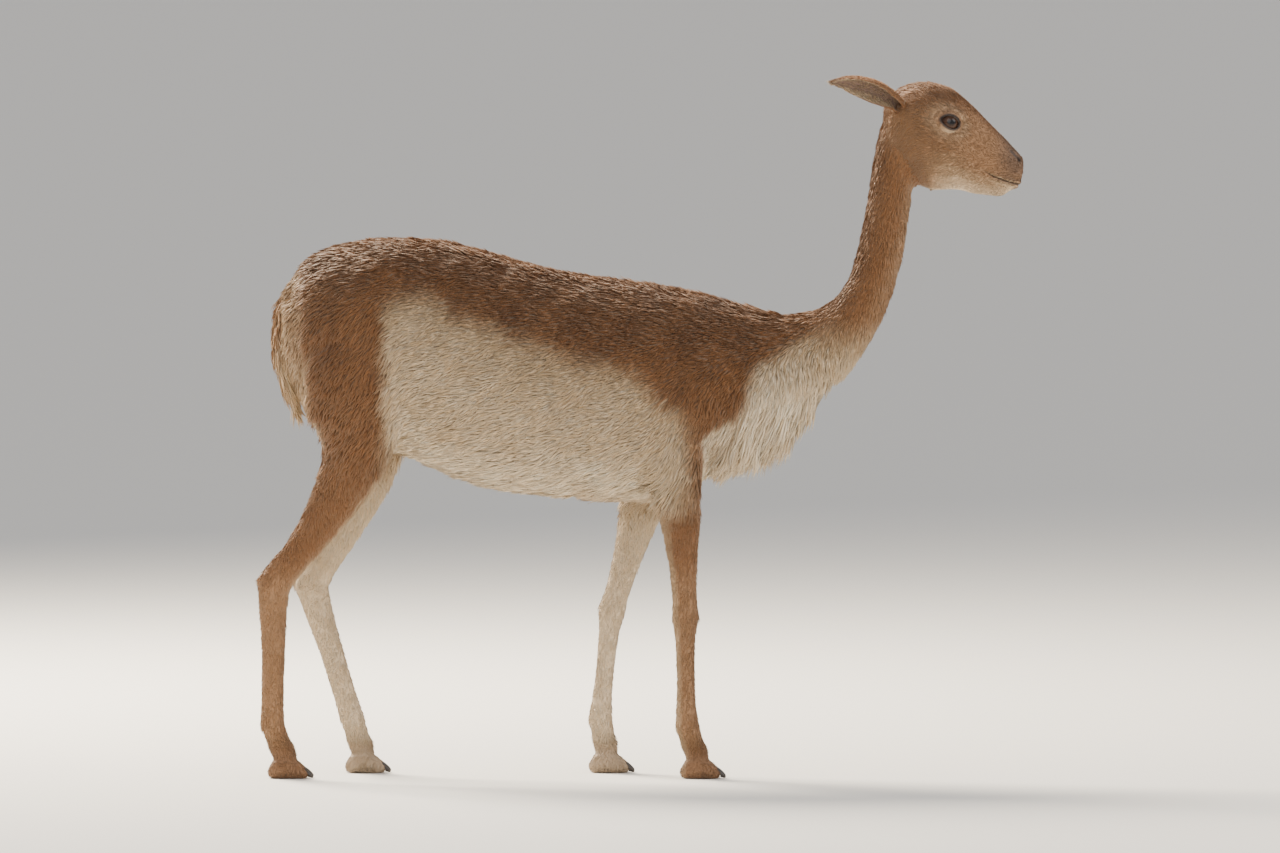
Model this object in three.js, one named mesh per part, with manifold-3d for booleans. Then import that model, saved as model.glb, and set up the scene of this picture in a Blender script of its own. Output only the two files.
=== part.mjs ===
// A life-size vicuna standing in mid stride with its head raised and its ears laid back.
// Sizes are in millimetres. The animal faces -Y, its left side is +X, and it stands on the plane Z = 0.
// Outlines are written as [fore, up]: how far towards the head, and how high above the ground.
import * as THREE from 'three';
import { LoftGeometry } from 'three/addons/geometries/LoftGeometry.js';
import { mergeVertices } from 'three/addons/utils/BufferGeometryUtils.js';
import Module from 'manifold-3d';

const wasm = await Module();
wasm.setup();

// Overall build
const GAP = 0.3; // between neighbouring pieces
const FLOOR = 0;
const FOOT_TOP = 31; // height of the pastern's lower end above the ground
const BODY_SIDES = 24;
const BODY_RING = 44; // furthest distance between rings along the body
const HEAD_SIDES = 24;
const HEAD_RING = 15;
const LIMB_SIDES = 12;
const LIMB_RING = 38;

// Where the whole animal is parted
const NECK_CUT = { at: [262, 812], to: [345, 690] };
const HEAD_CUT = { at: [398, 1150], to: [470, 1058] };
const CHEST_CUT_FORE = -60;
const HIND_CUT_FORE = -350;
const FORELEG_CUT_UP = 492;
const HINDLEG_CUT_UP = 546;
const KNEE_CUT = 0.06; // share of the cannon bone above the cut
const ANKLE_CUT = 0.9;

// Trunk and neck, from the buttocks to the nape: a is on the topline and b on the underline
const BODY = [
  { a: [-624, 862], b: [-628, 690], half: 74, egg: 0.05 }, // buttocks
  { a: [-592, 903], b: [-598, 636], half: 108, egg: 0.05 }, // pin bones
  { a: [-524, 932], b: [-530, 590], half: 136, egg: 0.02 }, // croup
  { a: [-425, 941], b: [-440, 562], half: 148, egg: 0 }, // hip
  { a: [-330, 931], b: [-352, 524], half: 157, egg: -0.04 }, // flank
  { a: [-235, 905], b: [-255, 494], half: 167, egg: -0.08 }, // loin
  { a: [-135, 881], b: [-150, 480], half: 171, egg: -0.1 }, // ribs
  { a: [-35, 867], b: [-45, 475], half: 163, egg: -0.1 }, // girth
  { a: [60, 853], b: [60, 483], half: 144, egg: -0.06 }, // withers
  { a: [145, 831], b: [155, 516], half: 121, egg: -0.04 }, // shoulder
  { a: [214, 812], b: [232, 572], half: 95, egg: -0.04 }, // breast
  { a: [270, 811], b: [298, 632], half: 74, egg: -0.04 }, // root of the neck
  { a: [318, 831], b: [358, 708], half: 60, egg: -0.04 },
  { a: [348, 874], b: [408, 786], half: 51, egg: 0 },
  { a: [366, 936], b: [441, 872], half: 45, egg: 0 },
  { a: [380, 1010], b: [457, 960], half: 41, egg: 0 },
  { a: [391, 1085], b: [466, 1016], half: 40, egg: 0 },
  { a: [404, 1138], b: [478, 1080], half: 39, egg: 0 }, // nape
];
const RUMP_DOME = 14;

// Head, from the nape to the lips
const HEAD = [
  { a: [404, 1126], b: [446, 1070], half: 33, egg: 0 }, // inside the neck
  { a: [412, 1168], b: [466, 1030], half: 44, egg: 0.04 }, // poll
  { a: [432, 1195], b: [482, 1018], half: 51, egg: 0.07 }, // angle of the jaw
  { a: [460, 1207], b: [500, 1016], half: 55, egg: 0.1 }, // crown
  { a: [494, 1209], b: [521, 1017], half: 55, egg: 0.1 }, // forehead
  { a: [530, 1198], b: [543, 1016], half: 50, egg: 0.06 }, // brow
  { a: [563, 1171], b: [565, 1011], half: 41, egg: -0.04 }, // bridge of the nose
  { a: [592, 1140], b: [586, 1010], half: 33, egg: -0.12 },
  { a: [616, 1116], b: [603, 1009], half: 28.5, egg: -0.12 }, // corner of the lips
  { a: [637, 1095], b: [620, 1011], half: 27, egg: -0.08 }, // nostrils
  { a: [650, 1079], b: [635, 1020], half: 22, egg: -0.02 },
];
const MUZZLE_DOME = 11;

// Eyes and lids
const EYE = { fore: 521, left: 36, up: 1138, radius: 20 };
const EYE_FACES_FORWARD = 22; // degrees ahead of straight sideways
const LID_THICKNESS = 2.8;
const LID_OPENING = { length: 33, height: 23, droop: 0.2 };
const BROW = { fore: 515, left: 35, up: 1148, size: [38, 19, 20] };

// Mouth and nose
const MOUTH = { corner: [589, 1052], bend: [618, 1037], front: [668, 1026], width: 2.2, depth: 3.5 };
const CLEFT = { from: [640, 1062], to: [668, 1029], width: 2, depth: 4 };
const NOSTRIL = { fore: 641, left: 14.5, up: 1079, size: [10, 6.5, 2.6], slope: -58, turn: 28 };

// Ears: leaf-shaped, rolled into a cup at the root, lying back over the nape
const EAR = {
  root: [432, 30, 1172],
  bow: [380, 47, 1201],
  tip: [318, 58, 1207],
  half: 24,
  thickness: 3.4,
  rollAtRoot: 2.3, // half angle of the cup, in radians
  rollAtTip: 0.75,
  opens: [0.42, 0.86, -0.28],
};
const EAR_RINGS = 10;
const EAR_RIM_STEPS = 6;

// Legs: bones from the top down, each [length, lean], lean being degrees that its lower end swings forward
const FORELEG_BUILD = [
  { bone: 0, part: -0.15, front: 60, back: 70, half: 22, side: 96 },
  { bone: 0, part: 0.3, front: 84, back: 88, half: 40, side: 106 }, // shoulder
  { bone: 0, part: 0.7, front: 66, back: 74, half: 41, side: 104 },
  { bone: 1, part: 0.0, front: 48, back: 58, half: 35, side: 99 }, // elbow
  { bone: 1, part: 0.27, front: 36, back: 38, half: 27, side: 95 },
  { bone: 1, part: 0.6, front: 27, back: 26, half: 21, side: 91 }, // forearm
  { bone: 1, part: 0.88, front: 24, back: 22, half: 19.5, side: 88 },
  { bone: 2, part: 0.0, front: 27, back: 24, half: 21.5, side: 87 }, // knee
  { bone: 2, part: 0.18, front: 20, back: 20, half: 17, side: 86 },
  { bone: 2, part: 0.5, front: 17, back: 18, half: 14.5, side: 85 }, // cannon
  { bone: 2, part: 0.82, front: 18, back: 20, half: 16, side: 84 },
  { bone: 3, part: 0.0, front: 22, back: 24, half: 20, side: 84 }, // fetlock
  { bone: 3, part: 0.5, front: 20, back: 20, half: 18.5, side: 84 },
  { bone: 3, part: 1.05, front: 22, back: 21, half: 20, side: 84 }, // pastern
];
const HINDLEG_BUILD = [
  { bone: 0, part: -0.2, front: 74, back: 56, half: 26, side: 86 },
  { bone: 0, part: 0.2, front: 112, back: 100, half: 41, side: 100, egg: -0.15 }, // haunch
  { bone: 0, part: 0.62, front: 88, back: 114, half: 45, side: 102, egg: -0.15 },
  { bone: 1, part: 0.0, front: 44, back: 110, half: 42, side: 100, egg: -0.1 }, // stifle
  { bone: 1, part: 0.24, front: 46, back: 64, half: 35, side: 96 },
  { bone: 1, part: 0.5, front: 42, back: 36, half: 27, side: 90 }, // gaskin
  { bone: 1, part: 0.78, front: 31, back: 27, half: 22, side: 85 },
  { bone: 2, part: 0.0, front: 30, back: 35, half: 22, side: 82 }, // hock
  { bone: 2, part: 0.17, front: 24, back: 29, half: 18, side: 81 },
  { bone: 2, part: 0.5, front: 21, back: 23, half: 16, side: 80 }, // cannon
  { bone: 2, part: 0.84, front: 20, back: 23, half: 16.5, side: 80 },
  { bone: 3, part: 0.0, front: 22, back: 24, half: 20, side: 80 }, // fetlock
  { bone: 3, part: 0.5, front: 20, back: 20, half: 18.5, side: 80 },
  { bone: 3, part: 1.05, front: 22, back: 21, half: 20, side: 80 }, // pastern
];
const LEGS = [
  { name: 'foreleg_right', left: -1, fore: 66, bones: [[200, -3], [242, 2.2], [188, 1.5], [64, 17]] },
  { name: 'foreleg_left', left: 1, fore: 62, bones: [[196, -16], [242, -17], [192, -5.5], [64, 10]] },
  { name: 'hindleg_right', left: -1, fore: -500, bones: [[202, 8], [306, -34.8], [243, -0.8], [66, 20]] },
  { name: 'hindleg_left', left: 1, fore: -500, bones: [[202, 15], [306, -26.5], [243, 17], [66, 16]] },
];

// Feet: two padded toes, each with a claw-like nail, measured from the middle of the sole
const TOE = [
  { a: [-29, 17], b: [-29, 5], half: 7, side: 10 },
  { a: [-19, 35], b: [-20, -4], half: 13, side: 11.5 },
  { a: [6, 40], b: [2, -4], half: 14.5, side: 13.2 },
  { a: [24, 31], b: [21, -4], half: 13, side: 14.8 },
  { a: [36, 20], b: [34, -3], half: 9.5, side: 15.6 },
  { a: [41, 12], b: [40, 3], half: 5.5, side: 16 },
];
const NAIL = [
  { a: [23, 34], b: [26, 22], half: 5.5, side: 14.6 },
  { a: [35, 27], b: [31, 9], half: 8, side: 15.4 },
  { a: [45, 16.5], b: [41, 2.5], half: 7, side: 16 },
  { a: [51, 5.5], b: [49, 1], half: 3.2, side: 16.4 },
];
const TOE_SIDES = 7;
const TOE_RING = 16;
const NAIL_SIDES = 6;
const NAIL_RING = 24;

// Tail: hangs close against the rump
const TAIL = [
  { a: [-584, 836], b: [-610, 868], half: 22 },
  { a: [-606, 812], b: [-640, 838], half: 29 },
  { a: [-618, 770], b: [-655, 778], half: 31 },
  { a: [-622, 718], b: [-654, 716], half: 31 },
  { a: [-616, 664], b: [-642, 656], half: 27 },
  { a: [-606, 620], b: [-624, 610], half: 16 },
];
const TAIL_SIDES = 10;
const TAIL_RING = 34;
const TAIL_LOCKS = { rows: 5, across: 3, length: [78, 68], width: 29, thick: 8, lift: [3, 5], bend: 0.08 };

// Long hair of the breast, hanging in front of and between the forelegs
const BIB = {
  from: 8.4, // station of the body where the hindmost row grows
  to: 11,
  rows: 7,
  across: 6,
  spread: 1.12, // half angle of the rows round the underline, in radians
  length: [44, 84], // hindmost and foremost
  width: 38,
  thick: 9,
  lift: [5, 9],
  bend: 0.22, // how far the tips turn down, as a share of the length
};
const LOCK_SIDES = 4;
const LOCK_SINK = 9;
const LOCK_SEED = 7;

// A point given as fore, left and up, in the frame of the part
const at = (fore, left, up) => new THREE.Vector3(left, -fore, up);
const radians = THREE.MathUtils.degToRad;
const mix = THREE.MathUtils.lerp;

// One number of the smooth curve through four stations
function smooth(p, q, r, s, x) {
  return 0.5 * (2 * q + (r - p) * x + (2 * p - 5 * q + 4 * r - s) * x * x + (3 * q - p - 3 * r + s) * x * x * x);
}

// The section between stations at place t, which counts stations from 0
function sectionAt(stations, t) {
  const last = stations.length - 1;
  const i = Math.min(Math.floor(t), last - 1);
  const near = [i - 1, i, i + 1, i + 2].map((k) => stations[THREE.MathUtils.clamp(k, 0, last)]);
  const blend = (read) => smooth(...near.map(read), t - i);
  return {
    a: [blend((s) => s.a[0]), blend((s) => s.a[1])],
    b: [blend((s) => s.b[0]), blend((s) => s.b[1])],
    half: blend((s) => s.half),
    side: blend((s) => s.side ?? 0),
    egg: blend((s) => s.egg ?? 0),
  };
}

// A point of a section: angle 0 is at its end a, and a quarter turn on is its left side
function pointOn({ a, b, half, side, egg }, angle, grow = 0) {
  const along = new THREE.Vector2(a[0] - b[0], a[1] - b[1]);
  const reach = along.length() / 2 + grow;
  along.normalize();
  const c = Math.cos(angle);
  const wide = (half + grow) * Math.sin(angle) * (1 + egg * c);
  const fore = (a[0] + b[0]) / 2 + along.x * reach * c;
  const up = (a[1] + b[1]) / 2 + along.y * reach * c;
  return at(fore, side + wide, up);
}

// Rings of a smooth body through stations, no further apart than ringGap
function ringsOf(stations, sides, ringGap, grow = 0) {
  const rings = [];
  const spread = (p, q) => Math.hypot(p[0] - q[0], p[1] - q[1]);
  for (let i = 0; i < stations.length - 1; i++) {
    const [s, n] = [stations[i], stations[i + 1]];
    const steps = Math.max(1, Math.round(Math.max(spread(s.a, n.a), spread(s.b, n.b)) / ringGap));
    for (let k = 0; k < steps; k++) rings.push(ringOf(sectionAt(stations, i + k / steps), sides, grow));
  }
  rings.push(ringOf(sectionAt(stations, stations.length - 1), sides, grow));
  return rings;
}

function ringOf(section, sides, grow) {
  return Array.from({ length: sides }, (_, j) => pointOn(section, (2 * Math.PI * j) / sides, grow));
}

// Rings that round off a body past its end ring
function domeOf(ring, outward, depth, count) {
  const centre = centreOf(ring);
  return Array.from({ length: count }, (_, k) => {
    const turn = (Math.PI / 2) * ((k + 1) / (count + 0.3));
    return ring.map((p) =>
      p.clone().sub(centre).multiplyScalar(Math.cos(turn)).add(centre)
        .addScaledVector(outward, depth * Math.sin(turn)));
  });
}

// Closed solids and cuts
function solidOf(geometry) {
  const bare = new THREE.BufferGeometry();
  bare.setAttribute('position', geometry.getAttribute('position'));
  bare.setIndex(geometry.index);
  const merged = mergeVertices(bare, 1e-4);
  return new wasm.Manifold(
    new wasm.Mesh({
      numProp: 3,
      vertProperties: new Float32Array(merged.getAttribute('position').array),
      triVerts: new Uint32Array(merged.index.array),
    }),
  );
}

const centreOf = (ring) => ring.reduce((sum, p) => sum.add(p), new THREE.Vector3()).divideScalar(ring.length);

// The solid through rings of points, whichever way round they are given
function loft(rings) {
  const [near, far] = [rings[0], rings[1]];
  const area = new THREE.Vector3();
  far.forEach((p, i) => area.add(new THREE.Vector3().crossVectors(p, far[(i + 1) % far.length])));
  const facesOnward = area.dot(centreOf(far).sub(centreOf(near))) > 0;
  const turned = facesOnward ? rings : rings.map((ring) => [...ring].reverse());
  return solidOf(new LoftGeometry(turned, { capStart: true, capEnd: true }));
}

function fuse(pieces) {
  return pieces.reduce((whole, piece) => whole.add(piece));
}

function largest(solid) {
  return solid.decompose().reduce((best, piece) => (piece.volume() > best.volume() ? piece : best));
}

// Everything on the side of a plane that normal points to, in reach of the animal
function beyond(point, normal) {
  const size = 4000;
  const block = new THREE.BoxGeometry(size, size, size).toNonIndexed();
  block.translate(0, 0, size / 2);
  block.applyQuaternion(new THREE.Quaternion().setFromUnitVectors(new THREE.Vector3(0, 0, 1), normal));
  block.translate(point.x, point.y, point.z);
  return solidOf(block);
}

// The two parts of a solid on either side of a plane, a gap apart: [behind, ahead]
function part(solid, point, normal) {
  const half = normal.clone().multiplyScalar(GAP / 2);
  return [
    solid.intersect(beyond(point.clone().sub(half), normal.clone().negate())),
    solid.intersect(beyond(point.clone().add(half), normal)),
  ];
}

// The plane across the body through a line of the side view, facing forward or up
function lineCut({ at: top, to: foot }) {
  const normal = at(top[1] - foot[1], 0, foot[0] - top[0]).normalize();
  return [at(top[0], 0, top[1]), normal];
}

// An egg-shaped solid: size is its half lengths fore, left and up, before it is turned
function egg(place, size, turn = new THREE.Euler(), across = 16, around = 12) {
  const ball = new THREE.SphereGeometry(1, across, around);
  ball.scale(size[1], size[0], size[2]);
  ball.applyQuaternion(new THREE.Quaternion().setFromEuler(turn));
  ball.translate(place.x, place.y, place.z);
  return solidOf(ball);
}

// A thin plate that follows a line of the side view and reaches through a width, centred on the middle
function plateAlong(points, thickness, reach) {
  const curve = new THREE.SplineCurve(points.map(([fore, up]) => new THREE.Vector2(fore, up)));
  const steps = 8;
  const edge = (way) =>
    Array.from({ length: steps + 1 }, (_, i) => {
      const across = curve.getTangent(i / steps).rotateAround(new THREE.Vector2(), Math.PI / 2);
      return curve.getPoint(i / steps).add(across.multiplyScalar((way * thickness) / 2));
    });
  const outline = [...edge(-1), ...edge(1).reverse()];
  return loft([-1, 1].map((side) => outline.map(({ x, y }) => at(x, (side * reach) / 2, y))));
}

// Random numbers from 0 to 1 that are the same each time
function seeded(seed) {
  let state = seed;
  return () => {
    state = (state * 16807) % 2147483647;
    return state / 2147483647;
  };
}

// One flat, tapered lock that grows from root along lie, bows off the skin by lift and bends towards sag
function lock(root, outward, lie, { length, width, thick, lift, sag }) {
  const across = new THREE.Vector3().crossVectors(lie, outward).normalize();
  const shares = [0, 0.25, 0.52, 0.78, 1];
  const fullness = [0.7, 1, 0.86, 0.54, 0.06];
  const rings = shares.map((share, i) => {
    const middle = root
      .clone()
      .addScaledVector(outward, -LOCK_SINK * (1 - share) ** 2 + lift * Math.sin(Math.PI * share))
      .addScaledVector(lie, length * share)
      .addScaledVector(sag, length * share ** 2);
    return Array.from({ length: LOCK_SIDES }, (_, j) => {
      const angle = (2 * Math.PI * j) / LOCK_SIDES;
      return middle
        .clone()
        .addScaledVector(across, (Math.cos(angle) * width * fullness[i]) / 2)
        .addScaledVector(outward, (Math.sin(angle) * Math.max(thick * fullness[i], 1)) / 2);
    });
  });
  return loft(rings);
}

// The outward direction of a loft's surface at station t and an angle round it
function normalOn(stations, t, angle) {
  const step = 0.01;
  const here = pointOn(sectionAt(stations, t), angle);
  const onward = pointOn(sectionAt(stations, t + step), angle).sub(here);
  const around = pointOn(sectionAt(stations, t), angle + step).sub(here);
  const middle = pointOn(sectionAt(stations, t), angle + Math.PI);
  const normal = new THREE.Vector3().crossVectors(onward, around).normalize();
  return normal.dot(here.sub(middle)) > 0 ? normal : normal.negate();
}

// Trunk, neck and head before they are parted
const bodyRings = (grow) => {
  const rings = ringsOf(BODY, BODY_SIDES, BODY_RING, grow);
  return [...domeOf(rings[0], at(-1, 0, 0), RUMP_DOME, 4).reverse(), ...rings];
};
const headRings = (grow, sides = HEAD_SIDES, ringGap = HEAD_RING) => {
  const rings = ringsOf(HEAD, sides, ringGap, grow);
  const outward = at(0.86, 0, -0.51);
  return [...rings, ...domeOf(rings[rings.length - 1], outward, MUZZLE_DOME, 4)];
};
const trunk = loft(bodyRings(0));
const trunkWithGap = loft(bodyRings(GAP));
const skull = loft(headRings(0));

// The direction that an eye looks, for the left eye, and for the right with left = -1
const gaze = (left) => {
  const turn = radians(EYE_FACES_FORWARD);
  return at(Math.sin(turn), left * Math.cos(turn), 0.04).normalize();
};

function eyeball(left, grow = 0) {
  const place = at(EYE.fore, left * EYE.left, EYE.up);
  const radius = EYE.radius + grow;
  return egg(place, [radius, radius, radius], new THREE.Euler(), 14, 9);
}

// The almond between the lids, as a block along the gaze
function lidOpening(left) {
  const { length, height, droop } = LID_OPENING;
  const away = gaze(left);
  const ahead = at(1, 0, 0).addScaledVector(away, -at(1, 0, 0).dot(away)).normalize();
  const upward = at(0, 0, 1).addScaledVector(away, -at(0, 0, 1).dot(away)).normalize();
  const steps = 16;
  const outline = Array.from({ length: steps }, (_, i) => {
    const angle = (2 * Math.PI * i) / steps;
    const x = (Math.cos(angle) * length) / 2;
    const y = (Math.sign(Math.sin(angle)) * Math.abs(Math.sin(angle)) ** 1.25 * height) / 2;
    return at(EYE.fore, left * EYE.left, EYE.up).addScaledVector(ahead, x).addScaledVector(upward, y - droop * x);
  });
  return loft([0, 40].map((out) => outline.map((p) => p.clone().addScaledVector(away, out))));
}

function nostril(left) {
  const { fore, up, size, slope, turn } = NOSTRIL;
  const euler = new THREE.Euler(radians(-slope), 0, radians(left * turn), 'ZXY');
  return egg(at(fore, left * NOSTRIL.left, up), size, euler, 10, 8);
}

function lids(left) {
  const centre = at(EYE.fore, left * EYE.left, EYE.up);
  const radius = EYE.radius + LID_THICKNESS;
  const brow = egg(at(BROW.fore, left * BROW.left, BROW.up), BROW.size, new THREE.Euler(), 12, 8);
  return egg(centre, [radius, radius, radius], new THREE.Euler(), 14, 9).add(brow);
}

// The head's finished outside: brows, lids, nostrils, lips and the cleft of the upper lip
function finishHead(head) {
  const shallow = (depth) => loft(headRings(-depth, 12, 40));
  const { corner, bend, front, width, depth } = MOUTH;
  const mouth = plateAlong([corner, bend, front], width, 200).subtract(shallow(depth));
  const cleftReach = CLEFT.width;
  const cleftPlate = plateAlong([CLEFT.from, CLEFT.to], 30, cleftReach)
    .intersect(beyond(at(0, 0, CLEFT.to[1]), at(0, 0, 1)))
    .subtract(shallow(CLEFT.depth));
  let whole = head;
  for (const left of [-1, 1]) whole = whole.add(lids(left));
  for (const left of [-1, 1]) {
    whole = whole.subtract(lidOpening(left)).subtract(eyeball(left, GAP)).subtract(nostril(left));
  }
  return whole.subtract(mouth).subtract(cleftPlate);
}

function ear(left) {
  const flip = ([fore, side, up]) => at(fore, left * side, up);
  const spine = new THREE.QuadraticBezierCurve3(flip(EAR.root), flip(EAR.bow), flip(EAR.tip));
  const rings = [];
  for (let i = 0; i <= EAR_RINGS; i++) {
    const t = i / EAR_RINGS;
    const widen = 0.92 + 0.08 * THREE.MathUtils.smoothstep(t, 0, 0.4);
    const half = EAR.half * Math.max(0.07, Math.sqrt(1 - t ** 2.3)) * widen;
    const roll = mix(EAR.rollAtRoot, EAR.rollAtTip, THREE.MathUtils.smoothstep(t, 0, 0.6));
    const radius = half / roll;
    const thick = Math.min(EAR.thickness * (1 - 0.5 * t), radius * 0.6);
    const tangent = spine.getTangent(t);
    const opens = flip(EAR.opens).addScaledVector(tangent, -flip(EAR.opens).dot(tangent)).normalize();
    const across = new THREE.Vector3().crossVectors(tangent, opens).normalize();
    const middle = spine.getPoint(t).addScaledVector(opens, radius);
    const arc = (reach, way) =>
      Array.from({ length: EAR_RIM_STEPS + 1 }, (_, j) => {
        const angle = way * mix(-roll, roll, j / EAR_RIM_STEPS);
        return middle
          .clone()
          .addScaledVector(opens, -Math.cos(angle) * reach)
          .addScaledVector(across, Math.sin(angle) * reach);
      });
    rings.push([...arc(radius, 1), ...arc(radius - thick, -1)]);
  }
  return loft(rings);
}

// Legs: joints and stations of one leg, worked out from its bones
function limb({ left, fore, bones }, build) {
  const lengths = bones.map(([length, lean]) => [length * Math.sin(radians(lean)), length * Math.cos(radians(lean))]);
  let up = FOOT_TOP + lengths.reduce((sum, [, drop]) => sum + drop, 0);
  const joints = [[fore, up]];
  for (const [swing, drop] of lengths) {
    const [f, u] = joints[joints.length - 1];
    joints.push([f + swing, u - drop]);
  }
  const stations = build.map(({ bone, part: share, front, back, half, side, egg: skew }) => {
    const [f, u] = joints[bone];
    const place = [f + lengths[bone][0] * share, u - lengths[bone][1] * share];
    const before = bones[Math.max(bone - 1, 0)][1];
    const lean = radians(share === 0 ? (before + bones[bone][1]) / 2 : bones[bone][1]);
    return {
      a: [place[0] + front * Math.cos(lean), place[1] + front * Math.sin(lean)],
      b: [place[0] - back * Math.cos(lean), place[1] - back * Math.sin(lean)],
      half,
      side: left * side,
      egg: skew,
    };
  });
  return { joints, stations };
}

const shifted = (stations, fore, side, left) =>
  stations.map((s) => ({
    ...s,
    a: [s.a[0] + fore, s.a[1]],
    b: [s.b[0] + fore, s.b[1]],
    side: side + left * s.side,
  }));

// One foot's two toes and their nails
function footOf(soleFore, soleSide, shank) {
  const ground = beyond(at(0, 0, FLOOR), at(0, 0, 1));
  const toes = [];
  const toesWithGap = [];
  const nails = [];
  for (const left of [-1, 1]) {
    const stations = shifted(TOE, soleFore, soleSide, left);
    toes.push(loft(ringsOf(stations, TOE_SIDES, TOE_RING)));
    toesWithGap.push(loft(ringsOf(stations, TOE_SIDES, TOE_RING, GAP)));
    nails.push(loft(ringsOf(shifted(NAIL, soleFore, soleSide, left), NAIL_SIDES, NAIL_RING)));
  }
  const foot = fuse([shank, ...toes]).intersect(ground);
  const clear = fuse(toesWithGap);
  return { foot, nails: nails.map((nail) => largest(nail.subtract(clear).subtract(foot))) };
}

// Locks that grow in staggered rows from a loft
function locksOn(stations, rows, lieAt) {
  const random = seeded(LOCK_SEED);
  const vary = (size, share) => size * (1 + share * (random() - 0.5));
  const locks = [];
  for (let row = 0; row < rows.rows; row++) {
    const share = row / (rows.rows - 1);
    const t = mix(rows.from, rows.to, share);
    const count = rows.across + (row % 2);
    for (let i = 0; i < count; i++) {
      const sideways = (i + 0.5) / count - 0.5;
      const angle = rows.middle + 2 * rows.spread * sideways + (random() - 0.5) * 0.08;
      const root = pointOn(sectionAt(stations, t), angle);
      const outward = normalOn(stations, t, angle);
      const sag = at(0, (random() - 0.5) * 0.25, -rows.bend);
      const size = {
        length: vary(mix(...rows.length, share), 0.35),
        width: vary(rows.width, 0.3),
        thick: rows.thick,
        lift: vary(mix(...rows.lift, share), 0.5),
        sag: sag.addScaledVector(outward, Math.max(0, -sag.dot(outward))),
      };
      locks.push(lock(root, outward, lieAt(outward, sideways, share), size));
    }
  }
  return locks;
}

// Hair hangs down along the skin, turned by swing (fore) and fan (left); cling 1 keeps it flat on the skin
function hangingLie(outward, swing, fan, cling) {
  const down = at(swing, fan, -1).normalize();
  return down.addScaledVector(outward, -down.dot(outward) * cling).normalize();
}

function bibLocks() {
  const rows = { ...BIB, middle: Math.PI };
  return locksOn(BODY, rows, (outward, sideways, share) =>
    hangingLie(outward, mix(-1.3, -0.08, Math.sqrt(share)), -0.4 * sideways, mix(0.92, 0.62, share)),
  );
}

function tailLocks() {
  const rows = { ...TAIL_LOCKS, from: 1.5, to: TAIL.length - 1.3, spread: 1.7, middle: Math.PI };
  return locksOn(TAIL, rows, (outward, sideways) => hangingLie(outward, 0.16, -0.2 * sideways, 0.96));
}

// Assembly
const COAT = { color: 0xb07a48, roughness: 0.95, metalness: 0 };
const PALE_COAT = { color: 0xe6dac4, roughness: 0.95, metalness: 0 };
const EYE_LOOK = { color: 0x140c08, roughness: 0.08, metalness: 0 };
const NAIL_LOOK = { color: 0x2b211b, roughness: 0.45, metalness: 0 };
const model = new THREE.Group();

function place(name, solid, look) {
  const { vertProperties, triVerts } = largest(solid).getMesh();
  const geometry = new THREE.BufferGeometry();
  geometry.setAttribute('position', new THREE.BufferAttribute(new Float32Array(vertProperties), 3));
  geometry.setIndex(new THREE.BufferAttribute(new Uint32Array(triVerts), 1));
  geometry.computeVertexNormals();
  const mesh = new THREE.Mesh(geometry, new THREE.MeshStandardMaterial(look));
  mesh.name = name;
  model.add(mesh);
}

// Legs, parted below the trunk, below the knee or hock, and above the toes
const uppers = [];
for (const leg of LEGS) {
  const front = leg.name.startsWith('fore');
  const { joints, stations } = limb(leg, front ? FORELEG_BUILD : HINDLEG_BUILD);
  const whole = loft(ringsOf(stations, LIMB_SIDES, LIMB_RING));
  const topCut = [at(0, 0, front ? FORELEG_CUT_UP : HINDLEG_CUT_UP), at(0, 0, -1)];
  const [upper, rest] = part(whole, ...topCut);
  const cannon = (share) => [mix(joints[2][0], joints[3][0], share), mix(joints[2][1], joints[3][1], share)];
  const downward = at(joints[3][0] - joints[2][0], 0, joints[3][1] - joints[2][1]).normalize();
  const [arm, below] = part(rest, at(cannon(KNEE_CUT)[0], 0, cannon(KNEE_CUT)[1]), downward);
  const [shank, ankle] = part(below, at(cannon(ANKLE_CUT)[0], 0, cannon(ANKLE_CUT)[1]), downward);
  const { foot, nails } = footOf(joints[4][0] - 2, stations[stations.length - 1].side, ankle);
  uppers.push(upper);
  place(`${leg.name}_upper`, arm.subtract(trunkWithGap), COAT);
  place(`${leg.name}_lower`, shank, COAT);
  place(`${leg.name}_foot`, foot, COAT);
  nails.forEach((nail, i) => place(`${leg.name}_nail_${i ? 'left' : 'right'}`, nail, NAIL_LOOK));
}

// The whole of the flesh is parted by planes across the body
const flesh = fuse([trunk, skull, ...uppers]);
const [rearAll, fromBarrel] = part(flesh, at(HIND_CUT_FORE, 0, 0), at(1, 0, 0));
const [barrel, fromChest] = part(fromBarrel, at(CHEST_CUT_FORE, 0, 0), at(1, 0, 0));
const [chest, fromNeck] = part(fromChest, ...lineCut(NECK_CUT));
const [neck, head] = part(fromNeck, ...lineCut(HEAD_CUT));
place('hindquarters', rearAll, COAT);
place('barrel', barrel, COAT);
place('chest', fuse([chest, ...bibLocks()]), PALE_COAT);
place('neck', neck, COAT);
place('head', finishHead(head), COAT);

const tail = fuse([loft(ringsOf(TAIL, TAIL_SIDES, TAIL_RING)), ...tailLocks()]);
place('tail', tail.subtract(trunkWithGap), COAT);

const skullWithGap = loft(headRings(GAP)).add(trunkWithGap);
for (const left of [-1, 1]) {
  const name = left < 0 ? 'right' : 'left';
  place(`ear_${name}`, ear(left).subtract(skullWithGap), COAT);
  place(`eye_${name}`, eyeball(left), EYE_LOOK);
}

// The origin is on the ground under the middle of the animal's outline
const middle = new THREE.Box3().setFromObject(model).getCenter(new THREE.Vector3());
model.position.set(-middle.x, -middle.y, -FLOOR);

export default model;
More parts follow.
